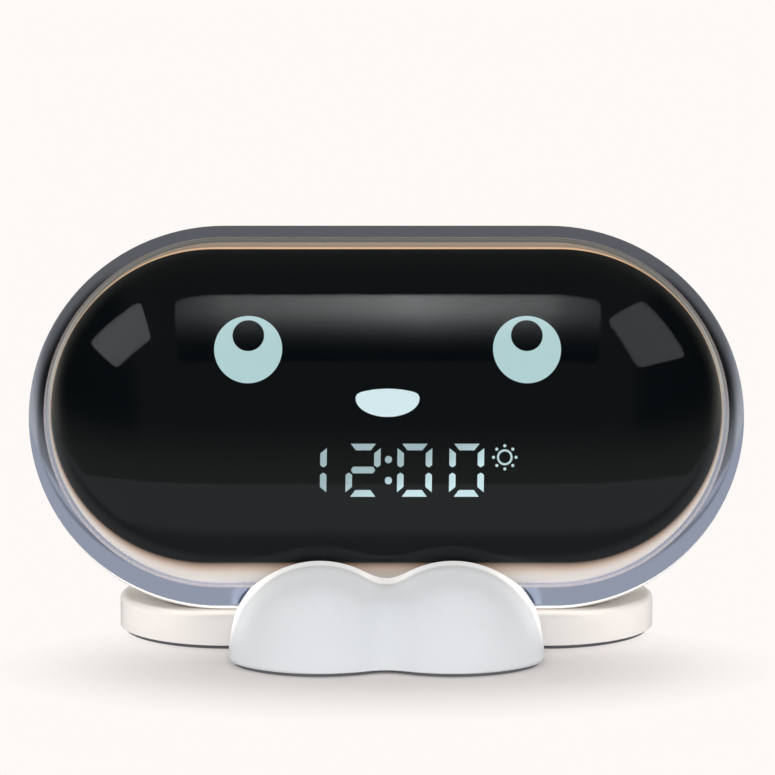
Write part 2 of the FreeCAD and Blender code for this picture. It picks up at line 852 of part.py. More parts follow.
# Rear shell
def make_rear_shell():
    """The white bowl with its grille, control openings, screw wells and board posts."""
    outside, side, corner = rear_curve(ZERO)
    inside, inner_side, inner_corner = rear_curve(s.shell_wall)
    arcs = {0: side, 1: corner, 5: -inner_corner, 6: -inner_side}
    body = around_head("rear_shell_bowl", outside + inside[::-1], arcs)
    wells = head_sketch(body, "well_bosses", -(s.screw_seat_back - s.shell_wall / 2))
    for left, high in case_screw_spots:
        circle(wells, left, high, s.screw_boss_radius)
    pad(body, wells, s.rear_depth - s.screw_seat_back + s.shell_wall / 2, reverse=True)
    posts = head_sketch(body, "board_posts", -s.main_board_back)
    pilots = head_sketch(body, "board_pilots", -s.main_board_back)
    for left, high in board_posts:
        circle(posts, left, high, s.standoff_radius)
        circle(pilots, left, high, s.small_screw_shank + s.fit_gap)
    pad(body, posts, inner_back - s.main_board_back + s.shell_wall / 2, reverse=True)
    pocket(body, pilots, s.small_screw_long + s.fit_gap, reverse=False)
    well_holes = head_sketch(body, "well_holes", -s.screw_seat_back)
    shank_holes = head_sketch(body, "shank_holes", -s.screw_seat_back)
    for left, high in case_screw_spots:
        circle(well_holes, left, high, s.screw_well_radius)
        circle(shank_holes, left, high, s.screw_shank_radius + s.layer_gap)
    pocket(body, well_holes, s.rear_depth, reverse=False)
    pocket(body, shank_holes, s.shell_wall, reverse=True)
    openings = head_sketch(body, "control_openings")
    for left in button_spots:
        circle(openings, left, s.button_high, s.button_radius + s.button_gap)
    slot_long = s.knob_long + s.switch_travel * 2 + s.button_gap * 2
    rectangle(openings, s.switch_left, s.switch_high, slot_long, s.knob_tall + s.button_gap * 2)
    hole = s.socket_radius + s.socket_gap
    stadium(openings, s.socket_half_flat, hole, s.socket_left, s.socket_high)
    first = -(sizes["grille_slots"] // 2)
    for number in range(first, first + sizes["grille_slots"]):
        off = s.grille_pitch * number
        reach = (s.grille_radius * s.grille_radius - off * off).root() - s.grille_slot / 2
        stadium(openings, reach, s.grille_slot / 2, s.speaker_left, off)
    pocket(body, openings)
    return body


def upright_cylinder(name, left, back, radius, low, top):
    """A cylinder that stands on the world's vertical."""
    cylinder = document.addObject("Part::Cylinder", name)
    cylinder.setExpression("Radius", radius.text)
    cylinder.setExpression("Height", (top - low).text)
    cylinder.setExpression("Placement.Base.x", left.text)
    cylinder.setExpression("Placement.Base.y", back.text)
    cylinder.setExpression("Placement.Base.z", low.text)
    document.recompute()
    return cylinder


def rear_solid():
    """The whole form of the rear, filled in."""
    outside, side, corner = rear_curve(ZERO)
    return around_head("rear_form", outside + [(ZERO, ZERO)], {0: side, 1: corner})


neck_spots = [s.neck_screw_spread * way for way in BOTH_WAYS]
neck_bosses = [
    upright_cylinder(
        f"neck_boss_{number}", left, s.neck_screw_back, s.neck_boss_radius, s.neck_boss_low, s.neck_boss_top
    )
    for number, left in enumerate(neck_spots)
]
neck_holes = [
    upright_cylinder(
        f"neck_hole_{number}",
        left,
        s.neck_screw_back,
        s.screw_shank_radius + s.fit_gap,
        ZERO,
        s.neck_boss_top - s.foot_wall,
    )
    for number, left in enumerate(neck_spots)
]
cable_hole = upright_cylinder("cable_hole", ZERO, s.neck_screw_back, s.cable_radius, ZERO, s.neck_boss_top)
shell_whole = fuse("shell_with_bosses", [make_rear_shell()] + neck_bosses)
shell_trimmed = common("shell_trimmed", shell_whole, rear_solid())
passages = fuse("passages", neck_holes + [cable_hole])
rear_shell = cut("rear_shell", shell_trimmed, passages)


def head_rods(name, spots, steps):
    """Round parts at several spots of the head; steps are (radius, start, finish) ahead of the joint."""
    body = new_body(name)
    for number, (radius, start, finish) in enumerate(steps):
        sketch = head_sketch(body, f"{name}_step_{number}", start)
        for left, high in spots:
            circle(sketch, left, high, radius)
        pad(body, sketch, finish - start)
    return body


case_screws = head_rods(
    "case_screws",
    case_screw_spots,
    [
        (s.screw_head_radius, -(s.screw_seat_back + s.screw_head_tall), -s.screw_seat_back),
        (s.screw_shank_radius, -s.screw_seat_back, s.screw_long - s.screw_seat_back),
    ],
)


# Main board and what it carries
def make_main_board():
    body = new_body("main_board")
    sketch = head_sketch(body, "main_board_outline", -s.main_board_back)
    middle = (s.main_board_left + s.main_board_right) / 2
    rectangle(sketch, middle, ZERO, s.main_board_right - s.main_board_left, s.main_board_half_tall * 2)
    for left, high in board_posts:
        circle(sketch, left, high, s.small_screw_shank + s.fit_gap)
    pad(body, sketch, s.board_thick)
    return body


main_board = make_main_board()
board_screws = head_rods(
    "board_screws",
    board_posts,
    [
        (s.small_screw_head, -main_board_front, s.small_screw_tall - main_board_front),
        (s.small_screw_shank, -main_board_front - s.small_screw_long, -main_board_front),
    ],
)
battery_pack = head_block(
    "battery_pack",
    s.battery_left + s.battery_long / 2,
    ZERO,
    s.battery_long,
    s.battery_tall,
    -main_board_front,
    s.battery_thick - main_board_front,
)


def make_tact_switches():
    spots = [(left, s.button_high) for left in button_spots]
    body = head_blocks(
        "tact_switches",
        spots,
        s.tact_side,
        s.tact_side,
        -(s.main_board_back + s.tact_tall),
        -s.main_board_back,
    )
    plungers = head_sketch(body, "tact_plungers", -(s.main_board_back + s.tact_tall))
    for left, high in spots:
        circle(plungers, left, high, s.tact_plunger_radius)
    pad(body, plungers, s.tact_plunger_tall, reverse=True)
    return body


tact_switches = make_tact_switches()


# A turned part of the head, on an axis that runs backwards from a spot of the joint plane
def turned(name, left, high, points, arcs=None):
    """A profile (away from the axis, back) turned right round."""
    body = document.addObject("PartDesign::Body", name)
    body.Label = name
    head_place(body, left, high)
    sketch = new_sketch(body, "XY_Plane", name + "_profile")
    outline(sketch, points, arcs)
    turn = body.newObject("PartDesign::Revolution", name + "_turn")
    turn.Profile = sketch
    turn.ReferenceAxis = (sketch, ["V_Axis"])
    turn.Angle = 360
    document.recompute()
    return body


button_flange_back = inner_back - s.button_gap
button_flange_front = button_flange_back - s.button_flange_thick
plunger_end = s.main_board_back + s.tact_tall + s.tact_plunger_tall


def make_button(name, left):
    """A push button: a stem towards its switch, a flange behind the wall and a domed cap outside."""
    tip = plunger_end + s.button_travel + s.button_gap
    edge = s.rear_depth + s.button_proud - s.button_dome
    crown = (s.button_radius * s.button_radius + s.button_dome * s.button_dome) / (s.button_dome * 2)
    points = [
        (ZERO, tip),
        (s.button_stem_radius, tip),
        (s.button_stem_radius, button_flange_front),
        (s.button_flange_radius, button_flange_front),
        (s.button_flange_radius, button_flange_back),
        (s.button_radius, button_flange_back),
        (s.button_radius, edge),
        (ZERO, edge + s.button_dome),
    ]
    return turned(name, left, s.button_high, points, {6: crown})


buttons = [make_button(name, left) for name, left in zip(button_names, button_spots)]

power_switch = head_block(
    "power_switch_body",
    s.switch_left,
    s.switch_high,
    s.switch_body_long,
    s.switch_body_tall,
    -(button_flange_front - s.button_gap),
    -s.main_board_back,
)


def make_knob():
    """The sliding knob of the power switch: a flange behind the wall and a tab through its slot."""
    body = new_body("power_switch_knob")
    flange = head_sketch(body, "knob_flange", -button_flange_back)
    rectangle(flange, s.switch_left, s.switch_high, s.knob_flange_long, s.knob_flange_tall)
    pad(body, flange, s.button_flange_thick)
    tab = head_sketch(body, "knob_tab", -button_flange_back)
    rectangle(tab, s.switch_left, s.switch_high, s.knob_long, s.knob_tall)
    pad(body, tab, s.rear_depth + s.knob_proud - button_flange_back, reverse=True)
    return body


power_knob = make_knob()


def make_usb_socket():
    """The power inlet: a flat tube with rounded ends, closed towards the board."""
    body = new_body("usb_socket")
    end = s.rear_depth - s.socket_sunk
    tube = head_sketch(body, "socket_tube", -end)
    stadium(tube, s.socket_half_flat, s.socket_radius, s.socket_left, s.socket_high)
    pad(body, tube, end - s.main_board_back)
    mouth = head_sketch(body, "socket_mouth", -end)
    inner = s.socket_radius - s.socket_wall
    stadium(mouth, s.socket_half_flat, inner, s.socket_left, s.socket_high)
    pocket(body, mouth, s.socket_deep, reverse=True)
    return body


usb_socket = make_usb_socket()
tongue_end = s.rear_depth - s.socket_sunk * 2
usb_tongue = head_block(
    "usb_tongue",
    s.socket_left,
    s.socket_high,
    s.tongue_long,
    s.tongue_tall,
    -tongue_end,
    s.socket_deep - s.rear_depth + s.socket_sunk,
)


# Speaker, glued behind its grille
gasket_front = inner_back - s.gasket_thick
basket_front = gasket_front - s.basket_flange
throat_back = basket_front - s.basket_deep
gasket_inner = s.speaker_radius - s.gasket_wide
speaker_gasket = turned(
    "speaker_gasket",
    s.speaker_left,
    ZERO,
    [
        (gasket_inner, gasket_front),
        (s.speaker_radius, gasket_front),
        (s.speaker_radius, inner_back),
        (gasket_inner, inner_back),
    ],
)
speaker_basket = turned(
    "speaker_basket",
    s.speaker_left,
    ZERO,
    [
        (ZERO, throat_back),
        (s.basket_throat, throat_back),
        (gasket_inner + s.basket_wall, basket_front),
        (s.speaker_radius, basket_front),
        (s.speaker_radius, gasket_front),
        (gasket_inner, gasket_front),
        (gasket_inner, basket_front),
        (s.basket_throat - s.basket_wall, throat_back + s.basket_wall),
        (ZERO, throat_back + s.basket_wall),
    ],
)
speaker_magnet = turned(
    "speaker_magnet",
    s.speaker_left,
    ZERO,
    [
        (ZERO, throat_back - s.magnet_thick),
        (s.magnet_radius, throat_back - s.magnet_thick),
        (s.magnet_radius, throat_back),
        (ZERO, throat_back),
    ],
)
cone_rim = gasket_inner - s.fit_gap
cone_throat = s.basket_throat / 2
cone_back = throat_back + s.basket_deep / 2
speaker_cone = turned(
    "speaker_cone",
    s.speaker_left,
    ZERO,
    [
        (ZERO, cone_back),
        (cone_throat, cone_back),
        (cone_rim, gasket_front - s.cone_wall),
        (cone_rim, gasket_front),
        (cone_throat, cone_back + s.cone_wall),
        (ZERO, cone_back + s.cone_wall),
    ],
)


# Form of the head grown by a gap, to bed the head in the foot and between the paws
def head_form(name, gap):
    rear, side, corner = rear_curve(-gap)
    dome, shoulder, crown = face_dome(-gap)
    points = rear + [dome[2], dome[1], (band_radius + gap, band_inner)]
    arcs = {0: side, 1: corner, 4: crown, 5: shoulder, 6: band_radius + gap}
    return around_head(name, points, arcs)


saddle_form = head_form("saddle_form", s.saddle_gap)


# Foot
plate_top = s.sole_thick + s.plate_thick
foot_screw_spots = [(s.foot_screw_end * way, ZERO) for way in BOTH_WAYS]
foot_screw_spots += [(s.foot_screw_spread * way, s.foot_screw_back) for way in BOTH_WAYS]


def foot_sketch(body, name, height):
    """A sketch that lies flat at a height above the floor."""
    return new_sketch(body, "XY_Plane", name, height)


def make_foot_cover():
    body = new_body("foot_cover_blank", in_head=False)
    slab = foot_sketch(body, "foot_outline", s.sole_thick)
    stadium(slab, s.foot_half_flat, s.foot_radius)
    raised = pad(body, slab, s.foot_top - s.sole_thick)
    top_edges = []
    for number, edge in enumerate(raised.Shape.Edges, start=1):
        box = edge.BoundBox
        if box.ZLength < 1e-6 and abs(box.ZMax - s.foot_top.value) < 1e-6:
            top_edges.append(f"Edge{number}")
    rounding = body.newObject("PartDesign::Fillet", "foot_edge")
    rounding.Base = (raised, top_edges)
    rounding.setExpression("Radius", s.foot_edge.text)
    document.recompute()
    seat = foot_sketch(body, "plate_seat", s.sole_thick)
    stadium(seat, s.foot_half_flat, s.foot_radius - s.foot_wall)
    pocket(body, seat, s.plate_thick, reverse=True)
    hollow = foot_sketch(body, "foot_hollow", plate_top)
    stadium(hollow, s.foot_half_flat, s.foot_radius - s.foot_wall)
    stadium(hollow, s.saddle_half_flat, s.saddle_radius, ZERO, s.saddle_back)
    for left, back in foot_screw_spots:
        circle(hollow, left, back, s.foot_boss_radius)
    pocket(body, hollow, s.foot_top - s.foot_roof - plate_top, reverse=True)
    pilots = foot_sketch(body, "foot_pilots", plate_top)
    for left, back in foot_screw_spots:
        circle(pilots, left, back, s.small_screw_shank + s.fit_gap)
    pocket(body, pilots, s.small_screw_long, reverse=True)
    notch = foot_sketch(body, "paw_notch", s.sole_thick)
    rectangle(notch, ZERO, s.foot_wall / 2 - s.foot_radius, s.notch_half * 2, s.foot_wall * 2)
    pocket(body, notch, s.plate_thick, reverse=True)
    return body


foot_bedded = cut("foot_bedded", make_foot_cover(), saddle_form)
foot_cover = cut("foot_cover", foot_bedded, passages)


# Paw lamp: two lobes side by side, each one a round bar with a domed nose
def paw_lobes(name, inset, rear, crease=None):
    """Both lobes from a distance behind the nose's start to the nose, set in by inset."""
    body = document.addObject("PartDesign::Body", name)
    body.Label = name
    body.setExpression("Placement.Base.z", s.paw_axis.text)
    sketch = new_sketch(body, "YZ_Plane", name + "_profile", s.paw_spread)
    nose, shoulder, crown = dome_curve(s.paw_radius, s.paw_nose_deep, s.paw_shoulder, inset)
    points = [(-rear, ZERO), (-rear, s.paw_radius - inset)]
    points += [(-(s.paw_nose_start + ahead), high) for ahead, high in nose]
    outline(sketch, points, {2: shoulder, 3: crown})
    lobe = body.newObject("PartDesign::Revolution", name + "_lobe")
    lobe.Profile = sketch
    lobe.ReferenceAxis = (sketch, ["H_Axis"])
    lobe.Angle = 360
    document.recompute()
    both = mirror(body, lobe, "YZ_Plane")
    if crease is not None:
        valley = []
        for number, edge in enumerate(both.Shape.Edges, start=1):
            box = edge.BoundBox
            if box.XLength < 1e-6 and abs(box.XMin) < 1e-6 and box.YLength > 1e-6:
                valley.append(f"Edge{number}")
        rounding = body.newObject("PartDesign::Fillet", name + "_crease")
        rounding.Base = (both, valley)
        rounding.setExpression("Radius", crease.text)
        document.recompute()
    return body


def world_box(name, half_wide, front, back, low, top):
    """A box across the middle, given by its half width and its other limits."""
    box = document.addObject("Part::Box", name)
    box.setExpression("Length", (half_wide * 2).text)
    box.setExpression("Width", (back - front).text)
    box.setExpression("Height", (top - low).text)
    box.setExpression("Placement.Base.x", (-half_wide).text)
    box.setExpression("Placement.Base.y", front.text)
    box.setExpression("Placement.Base.z", low.text)
    document.recompute()
    return box


paw_rear = s.foot_radius + s.paw_gap
paw_front = s.paw_nose_start + s.paw_nose_deep
lap = s.foot_radius - s.foot_wall * 2
paw_skin = cut(
    "paw_skin",
    paw_lobes("paw_outside", ZERO, paw_rear, s.paw_crease),
    paw_lobes("paw_inside", s.paw_wall, lap),
)
above_sole = world_box(
    "above_sole", s.foot_half_flat * 2, -paw_front * 2, ZERO, s.sole_thick, head_up
)
paw_trimmed = common("paw_trimmed", paw_skin, above_sole)
paw_diffuser = cut("paw_diffuser", paw_trimmed, head_form("paw_clearance_form", s.button_gap))

paw_plate = common(
    "paw_plate",
    paw_lobes("paw_plate_form", s.paw_wall + s.paw_gap, lap),
    world_box(
        "paw_plate_slice", s.notch_half - s.paw_gap, -paw_front, -lap, s.sole_thick, plate_top - s.fit_gap
    ),
)


def make_foot_plate():
    body = new_body("foot_plate", in_head=False)
    sketch = foot_sketch(body, "foot_plate_outline", s.sole_thick)
    stadium(sketch, s.foot_half_flat, s.foot_radius - s.foot_wall - s.plate_gap)
    for left, back in foot_screw_spots:
        circle(sketch, left, back, s.small_screw_shank + s.fit_gap)
    for left in neck_spots:
        circle(sketch, left, s.neck_screw_back, s.screw_head_radius + s.plate_gap)
    pad(body, sketch, s.plate_thick - s.fit_gap)
    sinks = foot_sketch(body, "screw_sinks", s.sole_thick)
    for left, back in foot_screw_spots:
        circle(sinks, left, back, s.small_screw_head + s.plate_gap)
    pocket(body, sinks, s.small_screw_tall, reverse=True)
    return body


base_plate = fuse("base_plate", [make_foot_plate(), paw_plate])


def make_sole():
    """The dark soft sole under the foot and the paws."""
    body = new_body("foot_sole", in_head=False)
    sketch = foot_sketch(body, "foot_sole_outline", ZERO)
    stadium(sketch, s.foot_half_flat, s.foot_radius - s.sole_inset)
    pad(body, sketch, s.sole_thick)
    paws = common(
        "paw_sole",
        paw_lobes("paw_sole_form", s.sole_inset, lap),
        world_box("sole_slice", s.foot_half_flat, -paw_front, -lap, ZERO, s.sole_thick),
    )
    return fuse("rubber_sole", [body, paws])


rubber_sole = make_sole()


def upright_rods(name, spots, steps):
    """Round parts that stand at several spots of the foot; steps are (radius, low, top)."""
    body = new_body(name, in_head=False)
    for number, (radius, low, top) in enumerate(steps):
        sketch = foot_sketch(body, f"{name}_step_{number}", low)
        for left, back in spots:
            circle(sketch, left, back, radius)
        pad(body, sketch, top - low)
    return body


foot_screws = upright_rods(
    "foot_screws",
    foot_screw_spots,
    [
        (s.small_screw_head, s.sole_thick, s.sole_thick + s.small_screw_tall),
        (
            s.small_screw_shank,
            s.sole_thick + s.small_screw_tall,
            s.sole_thick + s.small_screw_tall + s.small_screw_long,
        ),
    ],
)
neck_screws = upright_rods(
    "neck_screws",
    [(left, s.neck_screw_back) for left in neck_spots],
    [
        (s.screw_head_radius, s.sole_thick, plate_top),
        (s.screw_shank_radius, plate_top, plate_top + s.neck_screw_long),
    ],
)


def upright_blocks(name, spots, wide, deep, low, top):
    """Like blocks that stand at several spots of the foot."""
    body = new_body(name, in_head=False)
    sketch = foot_sketch(body, name + "_outline", low)
    for left, back in spots:
        rectangle(sketch, left, back, wide, deep)
    pad(body, sketch, top - low)
    return body


paw_board_low = plate_top - s.fit_gap
paw_board_middle = s.paw_board_deep / 2 - s.paw_board_front
paw_board_top = paw_board_low + s.board_thick
paw_board = upright_blocks(
    "paw_light_board",
    [(ZERO, paw_board_middle)],
    s.paw_board_long,
    s.paw_board_deep,
    paw_board_low,
    paw_board_top,
)
led_middle = (sizes["paw_led_count"] - 1) / 2
paw_lamps = upright_blocks(
    "paw_lamps",
    [(s.paw_led_pitch * (number - led_middle), paw_board_middle) for number in range(sizes["paw_led_count"])],
    s.led_long,
    s.led_wide,
    paw_board_top,
    paw_board_top + s.led_tall,
)


# Every sub-part that is written out
parts = [
    front_lens,
    rim_band,
    light_ring,
    face_mask,
    *eyes,
    nose_window,
    time_segments,
    sun_icon,
    light_box,
    display_board,
    display_lamps,
    ring_lamps,
    front_frame,
    rear_shell,
    case_screws,
    main_board,
    board_screws,
    battery_pack,
    tact_switches,
    *buttons,
    power_switch,
    power_knob,
    usb_socket,
    usb_tongue,
    speaker_gasket,
    speaker_basket,
    speaker_cone,
    speaker_magnet,
    foot_cover,
    base_plate,
    rubber_sole,
    foot_screws,
    neck_screws,
    paw_diffuser,
    paw_board,
    paw_lamps,
]

document.recompute()
for thing in document.Objects:
    if any(word in state for state in thing.State for word in ("Invalid", "Error")):
        raise RuntimeError(f"{thing.Name} failed: {thing.State}")
for thing in parts:
    if thing.Shape.isNull() or not thing.Shape.isValid():
        raise RuntimeError(f"{thing.Label} has no valid shape")

os.makedirs("parts", exist_ok=True)
for thing in parts:
    thing.Shape.exportStep(f"parts/{thing.Label}.step")
    solids = len(thing.Shape.Solids)
    print(f"{thing.Label}: {solids} solid(s), {thing.Shape.Volume / 1000:.2f} cm3")
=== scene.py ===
# %% [markdown]
# # A child's alarm clock with a paw night light
# The clock is an oval head with a black domed face, which leans back on a flat oval foot. In front
# of the foot lies a milky lamp, shaped like two paws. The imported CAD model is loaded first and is
# never moved: it says where every part is, in metres, and every new piece is worked out in its frame.

# %% Load the frame
import json
import math

import bmesh
import bpy
import numpy as np
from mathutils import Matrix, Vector


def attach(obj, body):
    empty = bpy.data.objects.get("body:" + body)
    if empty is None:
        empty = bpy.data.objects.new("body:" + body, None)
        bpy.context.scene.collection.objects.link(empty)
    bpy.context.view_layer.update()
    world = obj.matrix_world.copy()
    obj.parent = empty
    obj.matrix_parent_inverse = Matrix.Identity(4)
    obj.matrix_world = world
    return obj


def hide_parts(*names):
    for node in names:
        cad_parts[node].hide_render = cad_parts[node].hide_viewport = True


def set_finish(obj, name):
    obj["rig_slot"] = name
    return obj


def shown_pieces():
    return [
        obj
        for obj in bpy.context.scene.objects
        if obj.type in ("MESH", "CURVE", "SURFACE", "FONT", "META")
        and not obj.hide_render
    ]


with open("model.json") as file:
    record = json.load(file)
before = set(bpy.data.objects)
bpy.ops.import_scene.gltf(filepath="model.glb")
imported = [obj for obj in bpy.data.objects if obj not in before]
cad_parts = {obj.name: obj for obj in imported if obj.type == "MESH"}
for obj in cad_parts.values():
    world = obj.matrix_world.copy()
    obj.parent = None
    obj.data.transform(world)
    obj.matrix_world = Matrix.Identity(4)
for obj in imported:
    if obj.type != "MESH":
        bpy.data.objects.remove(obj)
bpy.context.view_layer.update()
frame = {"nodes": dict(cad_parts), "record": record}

nodes = frame["nodes"]

# %% [markdown]
# ## Two sets of axes
# The head leans back by 21 degrees. It is far easier to think of its shapes as if it stood upright:
# how far to the side, how far out of the face (ahead) and how far up the face (high). One function
# turns such numbers into the clock's own upright axes, so no piece needs to be turned afterwards.

# %% The head's own axes
MM = 0.001
TILT = math.radians(21.0)
HEAD_MIDDLE = np.array([0.0, -9.9, 54.2])
SIDE = np.array([1.0, 0.0, 0.0])
AHEAD = np.array([0.0, -math.cos(TILT), math.sin(TILT)])
HIGH = np.array([0.0, math.sin(TILT), math.cos(TILT)])


def in_head(side, ahead, high):
    """Head middle + side * SIDE + ahead * AHEAD + high * HIGH, all in millimetres, given in metres."""
    side, ahead, high = np.broadcast_arrays(side, ahead, high)
    spot = HEAD_MIDDLE + side[..., None] * SIDE + ahead[..., None] * AHEAD + high[..., None] * HIGH
    return spot * MM


def head_numbers(spot):
    """The way back: a place in millimetres, given as (side, ahead, high)."""
    away = spot - HEAD_MIDDLE
    return away @ SIDE, away @ AHEAD, away @ HIGH


print("face middle, mm:", np.round(in_head(0.0, 23.0, 0.0) / MM, 1))

# %% [markdown]
# ## From arrays to meshes
# Every new surface is a grid: an array of places with rows and columns. A square patch joins each
# four neighbours. Grids that close on themselves, or that shrink to a line at a pole, have places
# that coincide, so these are merged, the faces are turned outwards and sharp edges are marked.


# %% Grid helpers
def patches(rows, columns, wrap=True):
    """For row i, column j: (i, j) (i, j+1) (i+1, j+1) (i+1, j); wrap joins the last column to the first."""
    i, j = np.meshgrid(np.arange(rows - 1), np.arange(columns if wrap else columns - 1), indexing="ij")
    k = (j + 1) % columns
    corners = [i * columns + j, i * columns + k, (i + 1) * columns + k, (i + 1) * columns + j]
    return np.stack(corners, -1).reshape(-1, 4)


def piece(name, places, quads, body="clock", stands_for=(), sharp=32.0, slot=None):
    """A mesh object from places (metres) and patches, merged where places meet, with its faces outwards."""
    mesh = bpy.data.meshes.new(name)
    mesh.from_pydata(np.asarray(places).reshape(-1, 3).tolist(), [], np.asarray(quads).tolist())
    work = bmesh.new()
    work.from_mesh(mesh)
    bmesh.ops.remove_doubles(work, verts=work.verts, dist=2e-7)
    bmesh.ops.recalc_face_normals(work, faces=work.faces)
    work.to_mesh(mesh)
    work.free()
    mesh.update()
    mesh.shade_smooth()
    mesh.set_sharp_from_angle(angle=math.radians(sharp))
    made = bpy.data.objects.new(name, mesh)
    bpy.context.scene.collection.objects.link(made)
    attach(made, body)
    if stands_for:
        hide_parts(*stands_for)
    if slot:
        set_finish(made, slot)
    print(f"{name}: {len(mesh.vertices)} vertices, {len(mesh.polygons)} faces")
    return made


def arc(middle, radius, start, end, count):
    """Places on a circle: middle + radius * (sine of the angle ahead, cosine of it outwards), in radians."""
    angle = np.linspace(start, end, count)
    return np.stack([middle[0] + radius * np.sin(angle), middle[1] + radius * np.cos(angle)], -1)


# %% [markdown]
# ## The oval
# The head's outline is an oval with two straight sides: a line of 79 mm, with everything kept at one
# distance from it. So one profile, drawn as (ahead, away from the line), is carried round that line
# and gives the lens and the rim. The drawn outlines on the face are such ovals too.

# %% Carry a profile round an oval
HALF_LINE = 39.4


def round_trip(turn=56, run=24):
    """Once round: where on the line (-1 to 1), and the outward direction, a half turn at each end."""
    bend = np.linspace(-np.pi / 2, np.pi / 2, turn, endpoint=False)
    line = np.linspace(1, -1, run, endpoint=False)
    along = np.concatenate([np.ones(turn), line, -np.ones(turn), -line])
    angle = np.concatenate([bend, np.full(run, np.pi / 2), bend + np.pi, np.full(run, -np.pi / 2)])
    return along, np.cos(angle), np.sin(angle)


def carried(profile):
    """Side = along the line + away * cosine, high = away * sine, ahead as drawn: rows follow the profile."""
    along, cosine, sine = round_trip()
    ahead, away = profile[:, :1], profile[:, 1:]
    side = HALF_LINE * along + away * cosine
    return side, np.broadcast_to(ahead, side.shape), away * sine


def oval_piece(name, profile, closed=False, **facts):
    """A profile carried round the head's oval; closed joins the profile's end to its start."""
    if closed:
        profile = np.concatenate([profile, profile[:1]])
    grid = in_head(*carried(profile))
    return piece(name, grid, patches(*grid.shape[:2]), **facts)


print("round trip:", len(round_trip()[0]), "places")

# %% [markdown]
# ## Profiles of the head
# The face's dome is two arcs that share a tangent: a tight shoulder of 12 mm at its edge and a wide
# crown over its middle. The profile can be set in by a wall or a gap: both radii shrink by that much,
# and it stays parallel. The rear shell needs no such profile, because the CAD model's own is shown.

# %% Dome profile
HEAD_RADIUS = 46.7
LENS_RADIUS, DOME_BASE, DOME_DEEP, SHOULDER = 42.8, 3.0, 20.0, 12.0
REACH = LENS_RADIUS - SHOULDER
CROWN = (REACH**2 + DOME_DEEP**2 - SHOULDER**2) / (2 * (DOME_DEEP - SHOULDER))
CROWN_MIDDLE = DOME_BASE + DOME_DEEP - CROWN
DOME_TURN = math.atan2(CROWN - DOME_DEEP, REACH)
LENS_WALL, LAYER = 1.2, 0.1
FACE_INSET = LENS_WALL + LAYER


def dome_profile(inset):
    """From the dome's edge to its crown: a shoulder arc, then a crown arc, both shrunk by inset."""
    shoulder = arc((DOME_BASE, REACH), SHOULDER - inset, 0.0, DOME_TURN, 26)
    crown = arc((CROWN_MIDDLE, 0.0), CROWN - inset, DOME_TURN, np.pi / 2, 34)
    return np.concatenate([shoulder, crown[1:]])


def dome_ahead(away, inset):
    """How far ahead the dome is at a distance from the line: on the crown, or past its end the shoulder."""
    away = np.abs(away)
    joint = (CROWN - inset) * math.cos(DOME_TURN)
    crown = CROWN_MIDDLE + np.sqrt(np.maximum((CROWN - inset) ** 2 - away**2, 0))
    shoulder = DOME_BASE + np.sqrt(np.maximum((SHOULDER - inset) ** 2 - (away - REACH) ** 2, 0))
    return np.where(away < joint, crown, shoulder)


def on_face(side, high, inset):
    """A place on the face over a flat drawing: its distance from the head's line gives how far ahead it is."""
    away = np.hypot(np.maximum(np.abs(side) - HALF_LINE, 0), high)
    return in_head(side, dome_ahead(away, inset), high)


print("crown radius, mm:", round(CROWN, 2), "shoulder turns, degrees:", round(math.degrees(DOME_TURN), 1))

# %% [markdown]
# ## The clear lens and the rim
# The lens is a clear shell of 1.2 mm with a straight skirt, so it has an outer and an inner dome and
# light bends in both. The rim beside it is a bevel of hard grey plastic, slightly rounded: a flat arc
# that turns through 30 degrees between the lens's edge and the shell, so that it mirrors one even tone.

# %% Lens and rim
outer_dome, inner_dome = dome_profile(0.0), dome_profile(LENS_WALL)
LENS_FOOT = 1.2
lens_foot = np.array([[LENS_FOOT, LENS_RADIUS], [LENS_FOOT, LENS_RADIUS - LENS_WALL]])
lens_profile = np.concatenate([outer_dome[::-1], lens_foot, inner_dome])
oval_piece("clear_front_lens", lens_profile, stands_for=["front_lens"], slot="clear_cover")

BAND_INNER = LENS_RADIUS + 0.05
BAND_WIDE, HALF_TURN = HEAD_RADIUS - BAND_INNER, math.radians(15.0)
band_arc = BAND_WIDE * math.sqrt(0.5) / math.sin(HALF_TURN)
band_start, band_end = np.pi / 4 - HALF_TURN, np.pi / 4 + HALF_TURN
band_centre = (-band_arc * math.sin(band_start), HEAD_RADIUS - band_arc * math.cos(band_start))
band = arc(band_centre, band_arc, band_start, band_end, 18)
band_profile = np.concatenate([np.array([[0.0, BAND_INNER]]), band])
oval_piece("grey_rim", band_profile, closed=True, stands_for=["rim_band"], slot="rim_grey")

# %% [markdown]
# ## Flat drawings on a dome
# The black face, its glowing windows and the light ring all lie on one dome under the lens. Each is
# drawn flat as a closed outline that grows from its middle, row by row, and is then lifted onto the
# dome. A second copy, a wall deeper, closes it below. The windows stand 0.04 mm proud of the black.

# %% Plates on the face
MASK_WALL = 1.6
MASK_LINE, MASK_RADIUS, MASK_GAP = 41.8, 37.8, 0.05


def drawn_loop(side, high, inset, wall):
    """Rows of outlines from the middle out, lifted onto the dome, then the same rows back a wall deeper."""
    top, under = on_face(side, high, inset), on_face(side, high, inset + wall)
    return np.concatenate([top, under[::-1], top[:1]])


def plate(name, side, high, inset, wall, **facts):
    """One closed piece from a flat drawing."""
    loop = drawn_loop(side, high, inset, wall)
    return piece(name, loop, patches(*loop.shape[:2]), **facts)


def oval_line(half_line, radius):
    """The flat outline of an oval: along the line + radius * cosine, radius * sine."""
    along, cosine, sine = round_trip(72, 40)
    return half_line * along + radius * cosine, radius * sine


